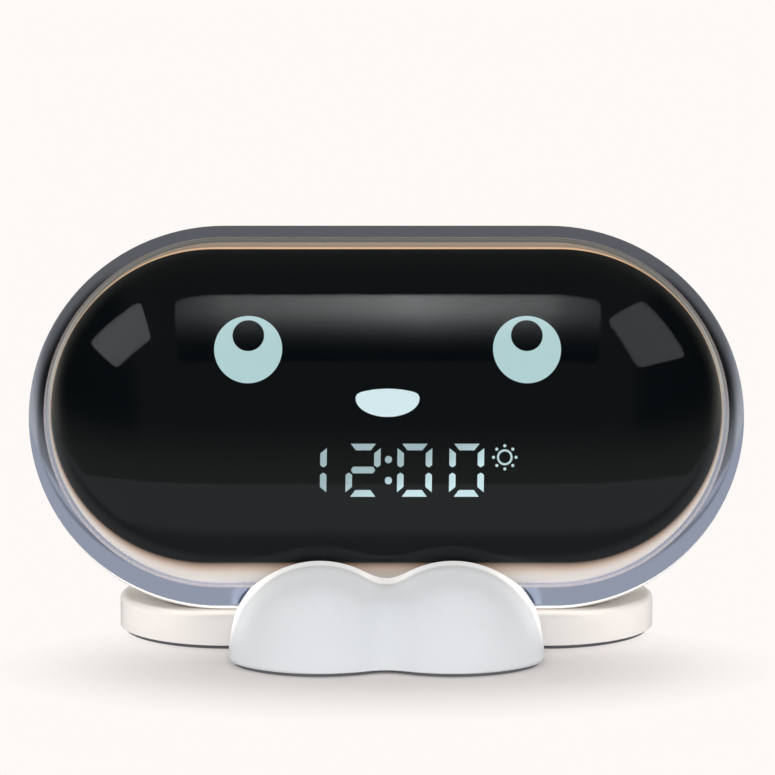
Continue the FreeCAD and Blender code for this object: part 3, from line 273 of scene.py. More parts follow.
mask_side, mask_high = oval_line(MASK_LINE, MASK_RADIUS)
grow = np.sin(np.linspace(0, np.pi / 2, 48))[:, None]
plate(
    "black_face",
    mask_side * grow,
    mask_high * grow,
    FACE_INSET,
    MASK_WALL,
    stands_for=["face_mask"],
    slot="face_black",
)

# %% [markdown]
# ## The light ring
# Round the black shows a ring that carries a soft light. Its inner edge is the face's outline, its
# outer edge the lens's, and a flat flange under the lens carries it. The ring stores its height up
# the face, and how far across it each place lies, as its UV map, so that its colour and glow, with
# their painted shade and light, can follow both.

# %% Ring
RING_INNER, RING_OUTER = MASK_RADIUS + MASK_GAP, LENS_RADIUS - FACE_INSET
RING_SKIRT = RING_OUTER - MASK_WALL
ring_inner = oval_line(MASK_LINE, RING_INNER)
ring_outer = oval_line(HALF_LINE, RING_OUTER)
across = np.linspace(0, 1, 15)[:, None]
ring_side = ring_inner[0] + (ring_outer[0] - ring_inner[0]) * across
ring_high = ring_inner[1] + (ring_outer[1] - ring_inner[1]) * across
ring_top = on_face(ring_side, ring_high, FACE_INSET)
inner_skirt_side, inner_skirt_high = oval_line(HALF_LINE, RING_SKIRT)


def ring_belt(radius, ahead):
    """One row round the ring's foot: the head's oval at a radius, at a height ahead of the joint plane."""
    belt_side, belt_high = oval_line(HALF_LINE, radius)
    return in_head(belt_side, ahead, belt_high)[None]


FLANGE_TOP, FLANGE_INNER, FLANGE_OUTER = 1.15, 37.0, LENS_RADIUS - 0.05
flange = [
    ring_belt(RING_OUTER, FLANGE_TOP),
    ring_belt(FLANGE_OUTER, FLANGE_TOP),
    ring_belt(FLANGE_OUTER, 0.0),
    ring_belt(FLANGE_INNER, 0.0),
    ring_belt(FLANGE_INNER, FLANGE_TOP),
    ring_belt(RING_SKIRT, FLANGE_TOP),
]
under_side = ring_inner[0] + (inner_skirt_side - ring_inner[0]) * across[::-1]
under_high = ring_inner[1] + (inner_skirt_high - ring_inner[1]) * across[::-1]
ring_under = on_face(under_side, under_high, FACE_INSET + MASK_WALL)
ring_grid = np.concatenate([ring_top, *flange, ring_under, ring_top[:1]])
light_ring = piece(
    "champagne_light_ring",
    ring_grid,
    patches(*ring_grid.shape[:2]),
    stands_for=["light_ring"],
    slot="ring_diffuser",
)


def store_across(target):
    """Writes each place's (height up the face, way across the ring) as its UV, both from 0 to 1."""
    mesh = target.data
    count = len(mesh.vertices)
    spot = np.empty(count * 3)
    mesh.vertices.foreach_get("co", spot)
    side, _, high = head_numbers(spot.reshape(-1, 3) / MM)
    inner = np.hypot(np.maximum(np.abs(side) - MASK_LINE, 0), high) - RING_INNER
    outer = RING_OUTER - np.hypot(np.maximum(np.abs(side) - HALF_LINE, 0), high)
    share = np.clip(inner / np.maximum(inner + outer, 1e-6), 0, 1)
    height = high / (2 * LENS_RADIUS) + 0.5
    corner = np.empty(len(mesh.loops), dtype=np.int32)
    mesh.loops.foreach_get("vertex_index", corner)
    layer = mesh.uv_layers.new(name="across")
    layer.data.foreach_set("uv", np.stack([height, share], -1)[corner].ravel())


store_across(light_ring)

# %% [markdown]
# ## Eyes, nose and time
# The eyes are discs with a dark disc high in each. The nose is a half moon: a flat brow arc, a deep
# chin arc and rounded corners. The time is built from bars with pointed ends, as on any clock
# display, that stand almost upright. Milky windows let light through; dark ones do not.

# %% Windows in the face
WINDOW_INSET, WINDOW_WALL, PUPIL_PROUD = FACE_INSET - 0.04, 0.5, 0.03
DRAWN_RIGHT, EYE_APART = 0.28, 33.0
EYE_HIGH, EYE_WIDE, EYE_TALL = 11.38, 8.05, 8.4
PUPIL_HIGH, PUPIL_WIDE, PUPIL_TALL = 14.78, 3.75, 3.9
NOSE_HIGH, BROW_MIDDLE, BROW_RADIUS, CHIN_WIDE, CHIN_TALL = -1.05, -23.0, 25.7, 7.55, 4.4
turn = np.linspace(0, 2 * np.pi, 64, endpoint=False)
q = np.linspace(0, 1, 12)[:, None]


def window(name, side, high, half_wide, half_tall, node, slot="glow_window", inset=WINDOW_INSET):
    """Outlines side + q * half width * cosine, high + q * half height * sine, for q from 0 to 1."""
    side_rows = side + q * half_wide * np.cos(turn)
    high_rows = high + q * half_tall * np.sin(turn)
    return plate(name, side_rows, high_rows, inset, WINDOW_WALL, stands_for=[node], slot=slot)


for side_name, way in (("left", -1), ("right", 1)):
    eye_side = EYE_APART * way + DRAWN_RIGHT
    window(f"{side_name}_eye_window", eye_side, EYE_HIGH, EYE_WIDE, EYE_TALL, f"{side_name}_eye")
    window(
        f"{side_name}_eye_pupil",
        eye_side,
        PUPIL_HIGH,
        PUPIL_WIDE,
        PUPIL_TALL,
        f"{side_name}_pupil",
        slot="pupil_black",
        inset=WINDOW_INSET - PUPIL_PROUD,
    )


def nose_radius(angle):
    """Distance to the half moon's edge: the nearer of the brow arc and the chin arc, blended at the corners."""
    cosine, sine = np.cos(angle), np.sin(angle)
    tests = np.linspace(0.05, 10, 400)[:, None]
    x, z = tests * cosine, tests * sine
    brow = np.hypot(x, z - BROW_MIDDLE) - BROW_RADIUS
    chin = np.hypot(x / CHIN_WIDE, (z - 0.4) / CHIN_TALL) ** 2.25 * 4 - 4
    edge = np.logaddexp(brow / 0.35, chin / 0.35) * 0.35
    return tests[np.argmax(edge > 0, axis=0), 0]


nose_edge = nose_radius(turn)
nose = window("nose_light_window", DRAWN_RIGHT, NOSE_HIGH, nose_edge, nose_edge, "nose_window")

# %% [markdown]
# ## Bars of the time
# Each bar of the time is a straight stroke with a cut at both ends. At a corner of the figure the cut
# slants, so that the bar's outer side is the longer one. Halfway up the figure the bars end in points,
# which leaves a clear gap. So a bar is a grid of length times width whose ends move with the width.

# %% Digits
DIGIT_MIDDLE, DIGIT_TALL, DIGIT_WIDE, STROKE = -17.4, 12.1, 8.2, 1.52
LEAN = math.tan(math.radians(0.8))
CORNER_CUT, TIP_CUT, CORNER_WAY, FLAT_WAY, MIDDLE_WAY = 0.6, 0.5, 1.62, 1.74, 0.6
FIGURE_STARTS = [("1", -22.3), ("2", -9.6), ("0", 2.55), ("0", 14.8)]
COLON_SIDE, COLON_APART, COLON_RADIUS = 0.48, 2.4, 0.84
SUN_SIDE, SUN_HIGH, SUN_OUTER, SUN_INNER, RAY_AWAY, RAY_RADIUS = 27.9, -14.48, 1.84, 1.36, 2.66, 0.36
BARS = {
    "top": (0, 1, True),
    "upper_left": (-1, 1, False),
    "upper_right": (1, 1, False),
    "middle": (0, 0, True),
    "lower_left": (-1, -1, False),
    "lower_right": (1, -1, False),
    "bottom": (0, -1, True),
}
FIGURES = {
    "1": ["upper_right", "lower_right"],
    "2": ["top", "upper_right", "middle", "lower_left", "bottom"],
    "0": ["top", "upper_left", "upper_right", "lower_left", "lower_right", "bottom"],
}


def bar_outline(left, bar):
    """Off runs from inner -1 to outer +1; a corner end lies at way - cut * off, a tip at way - cut * |off|."""
    half_wide, half_tall = DIGIT_WIDE / 2, DIGIT_TALL / 2
    right_share, up_share, flat = BARS[bar]
    off = np.linspace(-1, 1, 5)
    share = np.linspace(0, 1, 7)[:, None]
    corner_end = (FLAT_WAY if flat else CORNER_WAY) - CORNER_CUT * off
    tip_end = MIDDLE_WAY + TIP_CUT * np.abs(off)
    if bar == "middle":
        reach = half_wide - FLAT_WAY + 0.25 + TIP_CUT * (0.5 - np.abs(off))
        x = -reach + 2 * reach * share
        z = np.broadcast_to(off * STROKE / 2, x.shape)
    elif flat:
        reach = half_wide - corner_end
        x = -reach + 2 * reach * share
        z = np.broadcast_to(up_share * (half_tall - STROKE / 2 + off * STROKE / 2), x.shape)
    else:
        z = up_share * (tip_end + (half_tall - corner_end - tip_end) * share)
        x = np.broadcast_to(right_share * (half_wide - STROKE / 2 + off * STROKE / 2), z.shape)
    return left + DIGIT_WIDE / 2 + x + LEAN * z, DIGIT_MIDDLE + z


def slab(side, high, inset, wall):
    """A thin block over a drawn grid: its top, its underside, and a belt of patches round its border."""
    rows, columns = side.shape
    top, under = on_face(side, high, inset), on_face(side, high, inset + wall)
    places = np.concatenate([top.reshape(-1, 3), under.reshape(-1, 3)])
    sheet_faces = patches(rows, columns, wrap=False)
    number = np.arange(rows * columns).reshape(rows, columns)
    border = np.concatenate([number[0, :-1], number[:-1, -1], number[-1, :0:-1], number[:0:-1, 0]])
    onward = np.roll(border, -1)
    belt = np.stack([border, onward, onward + rows * columns, border + rows * columns], -1)
    return places, np.concatenate([sheet_faces, sheet_faces[:, ::-1] + rows * columns, belt])


def joined(parts):
    """Several (places, patches) as one, each part's numbers shifted past those before it."""
    places, quads, past = [], [], 0
    for spots, faces in parts:
        places.append(spots)
        quads.append(faces + past)
        past += len(spots)
    return np.concatenate(places), np.concatenate(quads)


def dot(side, high, radius, inner=0.0):
    """A small round window, or a ring where inner is given, as (places, patches)."""
    around = np.linspace(0, 2 * np.pi, 32, endpoint=False)
    reach = np.linspace(inner, radius, 4)[:, None]
    loop = drawn_loop(side + reach * np.cos(around), high + reach * np.sin(around), WINDOW_INSET, WINDOW_WALL)
    return loop.reshape(-1, 3), patches(*loop.shape[:2])


bars = [
    slab(*bar_outline(left, bar), WINDOW_INSET, WINDOW_WALL)
    for figure, left in FIGURE_STARTS
    for bar in FIGURES[figure]
]
dots = [dot(COLON_SIDE, DIGIT_MIDDLE + COLON_APART * way, COLON_RADIUS) for way in (-1, 1)]
piece("time_digits", *joined(bars + dots), stands_for=["time_segments"], slot="digit_glow", sharp=20)

rays = [
    dot(SUN_SIDE + RAY_AWAY * math.cos(angle), SUN_HIGH + RAY_AWAY * math.sin(angle), RAY_RADIUS)
    for angle in np.arange(8) * np.pi / 4
]
sun_ring = dot(SUN_SIDE, SUN_HIGH, SUN_OUTER, SUN_INNER)
sun_sign = piece("day_sign", *joined([sun_ring] + rays), stands_for=["sun_icon"], slot="digit_glow", sharp=20)

# %% [markdown]
# ## The paws
# The lamp is two bars with domed noses, side by side, that melt into each other. A distance function
# says how far any place is outside one bar, and a soft minimum of both gives the melted pair. Seen
# from a point between the two, every ray leaves the lamp only once, so the skin is found by halving
# along the rays of a grid: slices towards the foot, and a fan of rays over the noses.

# %% Distance to the paws
PAW_SPREAD, PAW_RADIUS, PAW_AXIS = 15.75, 21.5, 1.9
NOSE_START, NOSE_DEEP, PAW_SHOULDER = 40.0, 17.5, 14.0
PAW_REACH = PAW_RADIUS - PAW_SHOULDER
PAW_CROWN = (PAW_REACH**2 + NOSE_DEEP**2 - PAW_SHOULDER**2) / (2 * (NOSE_DEEP - PAW_SHOULDER))
PAW_MELT = 6.4


def dome_distance(forward, away, start, reach, deep, shoulder, crown):
    """Distance outside a domed bar: past its straight part the nearer of shoulder arc and crown arc counts."""
    ahead = forward - start
    straight = away - (reach + shoulder)
    round_shoulder = np.hypot(ahead, away - reach) - shoulder
    round_crown = np.hypot(ahead - (deep - crown), away) - crown
    past_joint = ahead * reach > (away - reach) * (crown - deep)
    return np.where(ahead <= 0, straight, np.where(past_joint, round_crown, round_shoulder))


def paw_distance(spot):
    """The least distance to a bar, less gap * gap * melt / 4, where gap is the share of melt left."""
    both = [
        dome_distance(
            -spot[..., 1],
            np.hypot(spot[..., 0] - PAW_SPREAD * way, spot[..., 2] - PAW_AXIS),
            NOSE_START,
            PAW_REACH,
            NOSE_DEEP,
            PAW_SHOULDER,
            PAW_CROWN,
        )
        for way in (-1, 1)
    ]
    gap = np.maximum(PAW_MELT - np.abs(both[0] - both[1]), 0) / PAW_MELT
    return np.minimum(*both) - gap**2 * PAW_MELT / 4


def halving(test, low, high, steps=40):
    """Where test turns from false to true between low and high, by halving the span again and again."""
    for _ in range(steps):
        middle = (low + high) / 2
        past = test(middle)
        low, high = np.where(past, low, middle), np.where(past, middle, high)
    return (low + high) / 2


def head_distance(spot):
    """Distance outside the front of the head: the lens's dome, or a full round that clears the rim's bevel."""
    side, ahead, high = head_numbers(spot)
    away = np.hypot(np.maximum(np.abs(side) - HALF_LINE, 0), high)
    dome = dome_distance(ahead, away, DOME_BASE, REACH, DOME_DEEP, SHOULDER, CROWN)
    rim = np.hypot(ahead, away - BAND_INNER) - (HEAD_RADIUS - BAND_INNER)
    return np.minimum(dome, rim)


# %% [markdown]
# ## The skin of the paws
# A fan of 121 rays finds the lamp's cross-section at the start of the noses. Each place of it is
# carried straight back until it is 0.3 mm short of the leaning head, so the lamp's back is cut to the
# head's shape. In front, the same fan tips forward step by step and closes the noses. The skin is
# then given a wall of 2 mm, as a moulded milky shell has.

# %% Skin of the paws
FLOOR_GAP, PAW_BACK, HEAD_GAP, PAW_WALL, FAR = 1.0, 27.15, 0.3, 2.0, 60.0
fan = np.linspace(0, np.pi, 121)
slice_way = np.stack([np.cos(fan), np.zeros_like(fan), np.sin(fan)], -1)
slice_start = np.array([0.0, -NOSE_START, FLOOR_GAP])
slice_reach = halving(
    lambda t: paw_distance(slice_start + t[:, None] * slice_way) > 0, np.zeros(len(fan)), np.full(len(fan), FAR)
)
slice_edge = slice_start + slice_reach[:, None] * slice_way
depth = halving(
    lambda t: head_distance(slice_edge * [1, 0, 1] - t[:, None] * [0, 1, 0]) > HEAD_GAP,
    np.full(len(fan), PAW_BACK),
    np.full(len(fan), NOSE_START),
)
depth = np.maximum(depth, PAW_BACK)
back_share = np.linspace(0, 1, 12, endpoint=False)[:, None]
back_part = np.stack(
    [
        np.broadcast_to(slice_edge[:, 0], (12, len(fan))),
        -(depth + (NOSE_START - depth) * back_share),
        np.broadcast_to(slice_edge[:, 2], (12, len(fan))),
    ],
    -1,
)
lift = np.linspace(0, np.pi / 2, 72)[:, None]
nose_way = np.stack(
    [np.cos(lift) * np.cos(fan), -np.sin(lift) * np.ones_like(fan), np.cos(lift) * np.sin(fan)], -1
)
nose_reach = halving(
    lambda t: paw_distance(slice_start + t[..., None] * nose_way) > 0,
    np.zeros(nose_way.shape[:2]),
    np.full(nose_way.shape[:2], FAR),
)
nose_part = slice_start + nose_reach[..., None] * nose_way
paw_grid = np.concatenate([back_part, nose_part]) * MM
paw_lamp = piece(
    "paw_lamp_skin",
    paw_grid,
    patches(*paw_grid.shape[:2], wrap=False),
    stands_for=["paw_diffuser"],
    slot="paw_milky",
    sharp=60,
)
wall = paw_lamp.modifiers.new("wall", "SOLIDIFY")
wall.thickness = PAW_WALL * MM
wall.offset = -1.0
wall.use_even_offset = True
print("paws reach back to, mm:", round(float(depth.min()), 2), round(float(depth.max()), 2))

# %% [markdown]
# ## A shared surface grain
# Moulded plastic is never perfectly even. A fine orange peel bends its reflections a little, and
# faint smudges change how sharp they are. Both come from one node group, used by every plastic with
# its own sizes. The group gives out only a height and a smudge value; the shader stays outside.


# %% Node groups
def group_of(name, inputs, outputs):
    """A shader node group with named sockets, and its input and output nodes."""
    made = bpy.data.node_groups.new(name, "ShaderNodeTree")
    for label, kind, value in inputs:
        socket = made.interface.new_socket(label, in_out="INPUT", socket_type=kind)
        if value is not None:
            socket.default_value = value
    for label, kind in outputs:
        made.interface.new_socket(label, in_out="OUTPUT", socket_type=kind)
    return made, made.nodes.new("NodeGroupInput"), made.nodes.new("NodeGroupOutput")


def add_node(tree, kind, **settings):
    """A node with its attributes set; names that are sockets are set as their plain values."""
    node = tree.nodes.new(kind)
    for key, value in settings.items():
        if key in node.inputs:
            node.inputs[key].default_value = value
        else:
            setattr(node, key, value)
    return node


NUMBER, VECTOR = "NodeSocketFloat", "NodeSocketVector"

skin, skin_in, skin_out = group_of(
    "moulded skin",
    [("Place", VECTOR, None), ("Peel", NUMBER, 900.0), ("Smudge", NUMBER, 60.0)],
    [("Height", NUMBER), ("Smudges", NUMBER)],
)
peel = add_node(skin, "ShaderNodeTexNoise", Detail=2.0, Roughness=0.5)
smear = add_node(skin, "ShaderNodeTexNoise", Detail=4.0, Roughness=0.6, Distortion=0.6)
skin.links.new(skin_in.outputs["Place"], peel.inputs["Vector"])
skin.links.new(skin_in.outputs["Peel"], peel.inputs["Scale"])
skin.links.new(skin_in.outputs["Place"], smear.inputs["Vector"])
skin.links.new(skin_in.outputs["Smudge"], smear.inputs["Scale"])
skin.links.new(peel.outputs["Fac"], skin_out.inputs["Height"])
skin.links.new(smear.outputs["Fac"], skin_out.inputs["Smudges"])

brushed, brushed_in, brushed_out = group_of(
    "drawn metal",
    [("Place", VECTOR, None), ("Fineness", NUMBER, 1500.0)],
    [("Height", NUMBER), ("Streaks", NUMBER)],
)
stretch = add_node(brushed, "ShaderNodeMapping", Scale=(1.0, 0.06, 1.0))
streak = add_node(brushed, "ShaderNodeTexNoise", Detail=3.0)
brushed.links.new(brushed_in.outputs["Place"], stretch.inputs["Vector"])
brushed.links.new(stretch.outputs["Vector"], streak.inputs["Vector"])
brushed.links.new(brushed_in.outputs["Fineness"], streak.inputs["Scale"])
brushed.links.new(streak.outputs["Fac"], brushed_out.inputs["Height"])
brushed.links.new(streak.outputs["Fac"], brushed_out.inputs["Streaks"])
print("node groups:", [made.name for made in bpy.data.node_groups])


# %% [markdown]
# ## Materials from one recipe
# Most finishes here are plastics that differ in colour, gloss and grain. One recipe places the
# grain, spreads the roughness a little round its value, mottles the colour by a few percent and
# bends the normal by a few microns. What is special in one finish is added after that.


# %% Finish recipe
def mapped(tree, value, low, high, new_low, new_high, kind="SMOOTHSTEP"):
    """Value from low to high becomes new_low to new_high, eased at both ends unless the kind is LINEAR."""
    node = add_node(tree, "ShaderNodeMapRange", interpolation_type=kind)
    for socket, number in zip(node.inputs[1:5], (low, high, new_low, new_high)):
        socket.default_value = number
    tree.links.new(value, node.inputs[0])
    return node.outputs[0]


def reckon(tree, operation, first, second):
    """One operation on two values, held between 0 and 1."""
    node = add_node(tree, "ShaderNodeMath", operation=operation, use_clamp=True)
    tree.links.new(first, node.inputs[0])
    tree.links.new(second, node.inputs[1])
    return node.outputs[0]


def picked(tree, share, first, second):
    """A blend of two shaders: the first where share is 0, the second where it is 1."""
    node = tree.nodes.new("ShaderNodeMixShader")
    for socket, source in zip(node.inputs, (share, first, second)):
        tree.links.new(source, socket)
    return node.outputs[0]


def shader_of(material):
    """A material's Principled shader."""
    return next(node for node in material.node_tree.nodes if node.type == "BSDF_PRINCIPLED")


def output_of(material):
    """A material's output node."""
    return next(node for node in material.node_tree.nodes if node.type == "OUTPUT_MATERIAL")


def object_place(tree):
    """The place on a piece, in metres along the clock's own axes."""
    return tree.nodes.new("ShaderNodeTexCoord").outputs["Object"]


def place_parts(tree):
    """The same place, taken apart into X, Y and Z."""
    taken_apart = add_node(tree, "ShaderNodeSeparateXYZ")
    tree.links.new(object_place(tree), taken_apart.inputs[0])
    return taken_apart.outputs


def place_along(tree, way):
    """How far a place lies along a direction: the sum of the products of both."""
    along_way = add_node(tree, "ShaderNodeVectorMath", operation="DOT_PRODUCT")
    along_way.inputs[1].default_value = way
    tree.links.new(object_place(tree), along_way.inputs[0])
    return along_way.outputs["Value"]


def finish(name, colour, rough, peel=900.0, smudge=60.0, bump=0.004, mottle=0.03, grain=skin, **plain):
    """A Principled material on Object coordinates with the shared grain, and plain shader values as given."""
    made = bpy.data.materials.new(name)
    made.use_nodes = True
    tree = made.node_tree
    tree.nodes.clear()
    out = tree.nodes.new("ShaderNodeOutputMaterial")
    shader = tree.nodes.new("ShaderNodeBsdfPrincipled")
    surface = tree.nodes.new("ShaderNodeGroup")
    surface.node_tree = grain
    tree.links.new(object_place(tree), surface.inputs["Place"])
    surface.inputs[1].default_value = peel
    if "Smudge" in surface.inputs:
        surface.inputs["Smudge"].default_value = smudge
    uneven = mapped(tree, surface.outputs[1], 0.3, 0.7, rough * 0.85, rough * 1.15, kind="LINEAR")
    tree.links.new(uneven, shader.inputs["Roughness"])
    shade = add_node(tree, "ShaderNodeMix", data_type="RGBA")
    shade.inputs[6].default_value = (*[channel * (1 - mottle) for channel in colour], 1)
    shade.inputs[7].default_value = (*[min(channel * (1 + mottle), 1.0) for channel in colour], 1)
    tree.links.new(surface.outputs[1], shade.inputs[0])
    tree.links.new(shade.outputs[2], shader.inputs["Base Color"])
    bend = add_node(tree, "ShaderNodeBump", Strength=0.5, Distance=bump * MM)
    tree.links.new(surface.outputs["Height"], bend.inputs["Height"])
    tree.links.new(bend.outputs["Normal"], shader.inputs["Normal"])
    for key, value in plain.items():
        shader.inputs[key.replace("_", " ")].default_value = value
    tree.links.new(shader.outputs[0], out.inputs[0])
    return made


def srgb(red, green, blue):
    """Screen values 0 to 255 as the light values that shaders use: ((v + 0.055) / 1.055) to the power 2.4."""
    value = np.array([red, green, blue]) / 255
    return tuple(np.where(value <= 0.04045, value / 12.92, ((value + 0.055) / 1.055) ** 2.4))


def wear(target, material):
    """Gives one piece or node this material alone."""
    target.data.materials.clear()
    target.data.materials.append(material)


# %% [markdown]
# ## Finishes that show
# The rim has a grey mirror coat, the foot is glossy white, the sole is dull rubber, the paws are milky
# and let some light into themselves, and the black face is only faintly glossy, because the clear
# lens in front of it carries all the shine.

# %% Outer finishes
FACE_BLACK = srgb(12, 17, 20)
GLOSSY_WHITE = {"rough": 0.22, "Coat_Weight": 0.3, "Coat_Roughness": 0.08}
looks = {
    "rim_grey": finish("glossy grey rim", srgb(219, 229, 255), 0.14, bump=0.001, Metallic=1.0),
    "face_black": finish("black face", FACE_BLACK, 0.5, Specular_IOR_Level=0.02),
    "pupil_black": finish("dark eye middle", FACE_BLACK, 0.5, Specular_IOR_Level=0.02),
    "shell_white": finish("glossy white foot", srgb(246, 243, 240), **GLOSSY_WHITE),
    "sole_rubber": finish("dull rubber sole", srgb(96, 98, 103), 0.75, peel=2200.0, bump=0.02),
    "paw_milky": finish(
        "milky paws",
        srgb(220, 225, 229),
        0.34,
        Subsurface_Weight=0.35,
        Subsurface_Radius=(0.004, 0.004, 0.004),
        Coat_Weight=0.15,
        Coat_Roughness=0.2,
    ),
    "control_grey": finish("satin control", srgb(196, 199, 203), 0.4),
}

# %% [markdown]
# ## The rear shell: painted shade, and a lip of painted light
# The shell's white is set darker than the same white on the foot: painted shade, so that the strong
# back lamp does not wash it out. The first millimetres behind the joint get painted light: a small glow
# that stands in for light bounced up from the paper and the foot. The glow follows the distance along
# the head's own axis and is gone 8 mm behind the joint. It shows on the shaded underside; higher up,
# in the studio's light, nearly nothing is added.

# %% Shell: painted shade and painted lip light
PAINTED_LIGHT_DEEP = 8.0 * MM
joint_along = float(HEAD_MIDDLE @ AHEAD) * MM
# Painted shade: the shell's white, darker than the foot's same white.
shell_shade_and_lip_light = finish("white shell, painted shade, painted light on its lip", srgb(226, 223, 220), **GLOSSY_WHITE)
tree = shell_shade_and_lip_light.node_tree
# Painted light on the lip, standing in for light bounced up from the paper and the foot.
painted_lip_light = mapped(tree, place_along(tree, AHEAD), joint_along - PAINTED_LIGHT_DEEP, joint_along, 0.0, 0.8)
underside = mapped(tree, place_parts(tree)["Z"], 0.013, 0.035, 1.0, 0.1)
shell_shader = shader_of(shell_shade_and_lip_light)
tree.links.new(reckon(tree, "MULTIPLY", painted_lip_light, underside), shell_shader.inputs["Emission Strength"])
shell_shader.inputs["Emission Color"].default_value = (1.0, 0.97, 0.93, 1)
print("joint plane along the head's axis, mm:", round(joint_along / MM, 2))

# %% [markdown]
# ## The painted bright edge of the paws
# A painted highlight: a small glow is added to the milky paws at a grazing view, above the lowest
# millimetres, so that their tops and sides show bright edges also where the head shades them. A weaker
# part of it reaches further in and lifts that shade. Only the eye sees it: in the lens the paws show
# their shaded backs.

# %% Paw edge: painted highlight
tree = looks["paw_milky"].node_tree
# Painted highlight: a glow at grazing views, for the camera alone, which also lifts the head's shade on the
# paws.
grazing = add_node(tree, "ShaderNodeLayerWeight", Blend=0.5)
painted_shade_lift = mapped(tree, grazing.outputs["Facing"], 0.2, 0.6, 0.0, 0.2)
painted_edge_highlight = mapped(tree, grazing.outputs["Facing"], 0.66, 0.86, 0.0, 0.42)
paw_rays = tree.nodes.new("ShaderNodeLightPath")
painted_edge_glow = reckon(tree, "ADD", painted_shade_lift, painted_edge_highlight)
painted_glow_for_eye = reckon(tree, "MULTIPLY", painted_edge_glow, paw_rays.outputs["Is Camera Ray"])
painted_glow_off_sole = mapped(tree, place_parts(tree)["Z"], 0.003, 0.012, 0.0, 1.0)
paw_shader = shader_of(looks["paw_milky"])
tree.links.new(reckon(tree, "MULTIPLY", painted_glow_for_eye, painted_glow_off_sole), paw_shader.inputs["Emission Strength"])
paw_shader.inputs["Emission Color"].default_value = (1.0, 0.985, 0.955, 1)

# %% [markdown]
# ## Light through the face
# The windows are milky, and light comes from lamps behind them. A lit window looks a little brighter
# than its colour, evenly spread. So a glow of its own colour is added, and a slow noise keeps it from
# being one flat tone. The time's lamps sit low and to the right, so its bars brighten that way.


# %% Glowing finishes
def glowing(name, colour, strength):
    """A finish whose own colour also shines a little."""
    made = finish(name, colour, 0.35, mottle=0.02, smudge=140.0)
    shader = shader_of(made)
    shade = shader.inputs["Base Color"].links[0].from_socket
    made.node_tree.links.new(shade, shader.inputs["Emission Color"])
    shader.inputs["Emission Strength"].default_value = strength
    return made


looks["glow_window"] = glowing("milky window", srgb(150, 175, 177), 0.94)
nose_look = glowing("milky nose", srgb(170, 186, 190), 1.12)
sun_look = glowing("sun sign", srgb(160, 180, 184), 0.9)
looks["digit_glow"] = glowing("lit digits", srgb(168, 190, 194), 1.0)
tree = looks["digit_glow"].node_tree
lit = mapped(tree, place_along(tree, (0.35, 0.0, -1.0)), -0.047, -0.037, 0.35, 0.97)
tree.links.new(lit, shader_of(looks["digit_glow"]).inputs["Emission Strength"])

# %% [markdown]
# ## The light ring's glow, with painted shade and light
# Low on the face the ring runs from dark at the black's edge through brown and peach to nearly white:
# painted shade under the black's edge, then painted light. High up it is a darker taupe, painted shade
# where the ring faces down, with a thin copper line along the black's edge, a painted highlight. So
# there are two colour ramps across the ring, one low and one high, and a slow change from one to the
# other with height. A second pair gives the glow that the ring's lamps add, with painted light that
# makes it stronger low down and along the copper line.


# %% Ring finish: painted shade and light
def ramp(tree, value, stops):
    """A colour ramp over a value; stops are (place, screen colour)."""
    node = tree.nodes.new("ShaderNodeValToRGB")
    for number, (place_on, colour) in enumerate(stops):
        stop = node.color_ramp.elements[number] if number < 2 else node.color_ramp.elements.new(place_on)
        stop.position = place_on
        stop.color = (*srgb(*colour), 1)
    tree.links.new(value, node.inputs[0])
    return node.outputs["Color"]


def low_to_high(tree, height, low, high):
    """The low colour, with its painted shade and light, below 0.38 of the ring's height, the high one, with its
    painted shade and highlight, above 0.8, eased between them.
    """
    mix = add_node(tree, "ShaderNodeMix", data_type="RGBA")
    tree.links.new(mapped(tree, height, 0.38, 0.8, 0.0, 1.0), mix.inputs[0])
    tree.links.new(low, mix.inputs[6])
    tree.links.new(high, mix.inputs[7])
    return mix.outputs[2]


# Low ramps: painted shade at the black's edge, then painted light towards nearly white, in colour and in glow.
LOW_SHADE_AND_LIGHT = [
    (0.0, (60, 48, 42)),
    (0.1, (140, 116, 100)),
    (0.3, (194, 172, 157)),
    (0.55, (226, 213, 206)),
    (1.0, (240, 232, 230)),
]
GLOW_LOW_WITH_PAINTED_LIGHT = [
    (0.0, (20, 14, 10)),
    (0.12, (92, 74, 62)),
    (0.35, (140, 122, 110)),
    (0.7, (172, 163, 158)),
    (1.0, (180, 173, 171)),
]
# High ramps: a painted copper highlight at the black's edge, then painted shade in a darker taupe, in colour
# and in glow.
HIGH_SHADE_AND_HIGHLIGHT = [
    (0.0, (226, 190, 154)),
    (0.1, (226, 190, 154)),
    (0.18, (160, 140, 124)),
    (0.6, (186, 168, 152)),
    (1.0, (214, 192, 174)),
]
GLOW_HIGH_WITH_PAINTED_HIGHLIGHT = [
    (0.0, (178, 144, 112)),
    (0.1, (178, 144, 112)),
    (0.18, (102, 87, 74)),
    (0.6, (124, 108, 95)),
    (1.0, (150, 130, 114)),
]
ring_look = finish("champagne ring", srgb(200, 180, 165), 0.35, mottle=0.02, Emission_Strength=1.0)
tree = ring_look.node_tree
ring_map = add_node(tree, "ShaderNodeUVMap", uv_map="across")
split = add_node(tree, "ShaderNodeSeparateXYZ")
tree.links.new(ring_map.outputs[0], split.inputs[0])
height, width = split.outputs["X"], split.outputs["Y"]
for socket, low, high in (("Base Color", LOW_SHADE_AND_LIGHT, HIGH_SHADE_AND_HIGHLIGHT), ("Emission Color", GLOW_LOW_WITH_PAINTED_LIGHT, GLOW_HIGH_WITH_PAINTED_HIGHLIGHT)):
    blended = low_to_high(tree, height, ramp(tree, width, low), ramp(tree, width, high))
    tree.links.new(blended, shader_of(ring_look).inputs[socket])
looks["ring_diffuser"] = ring_look

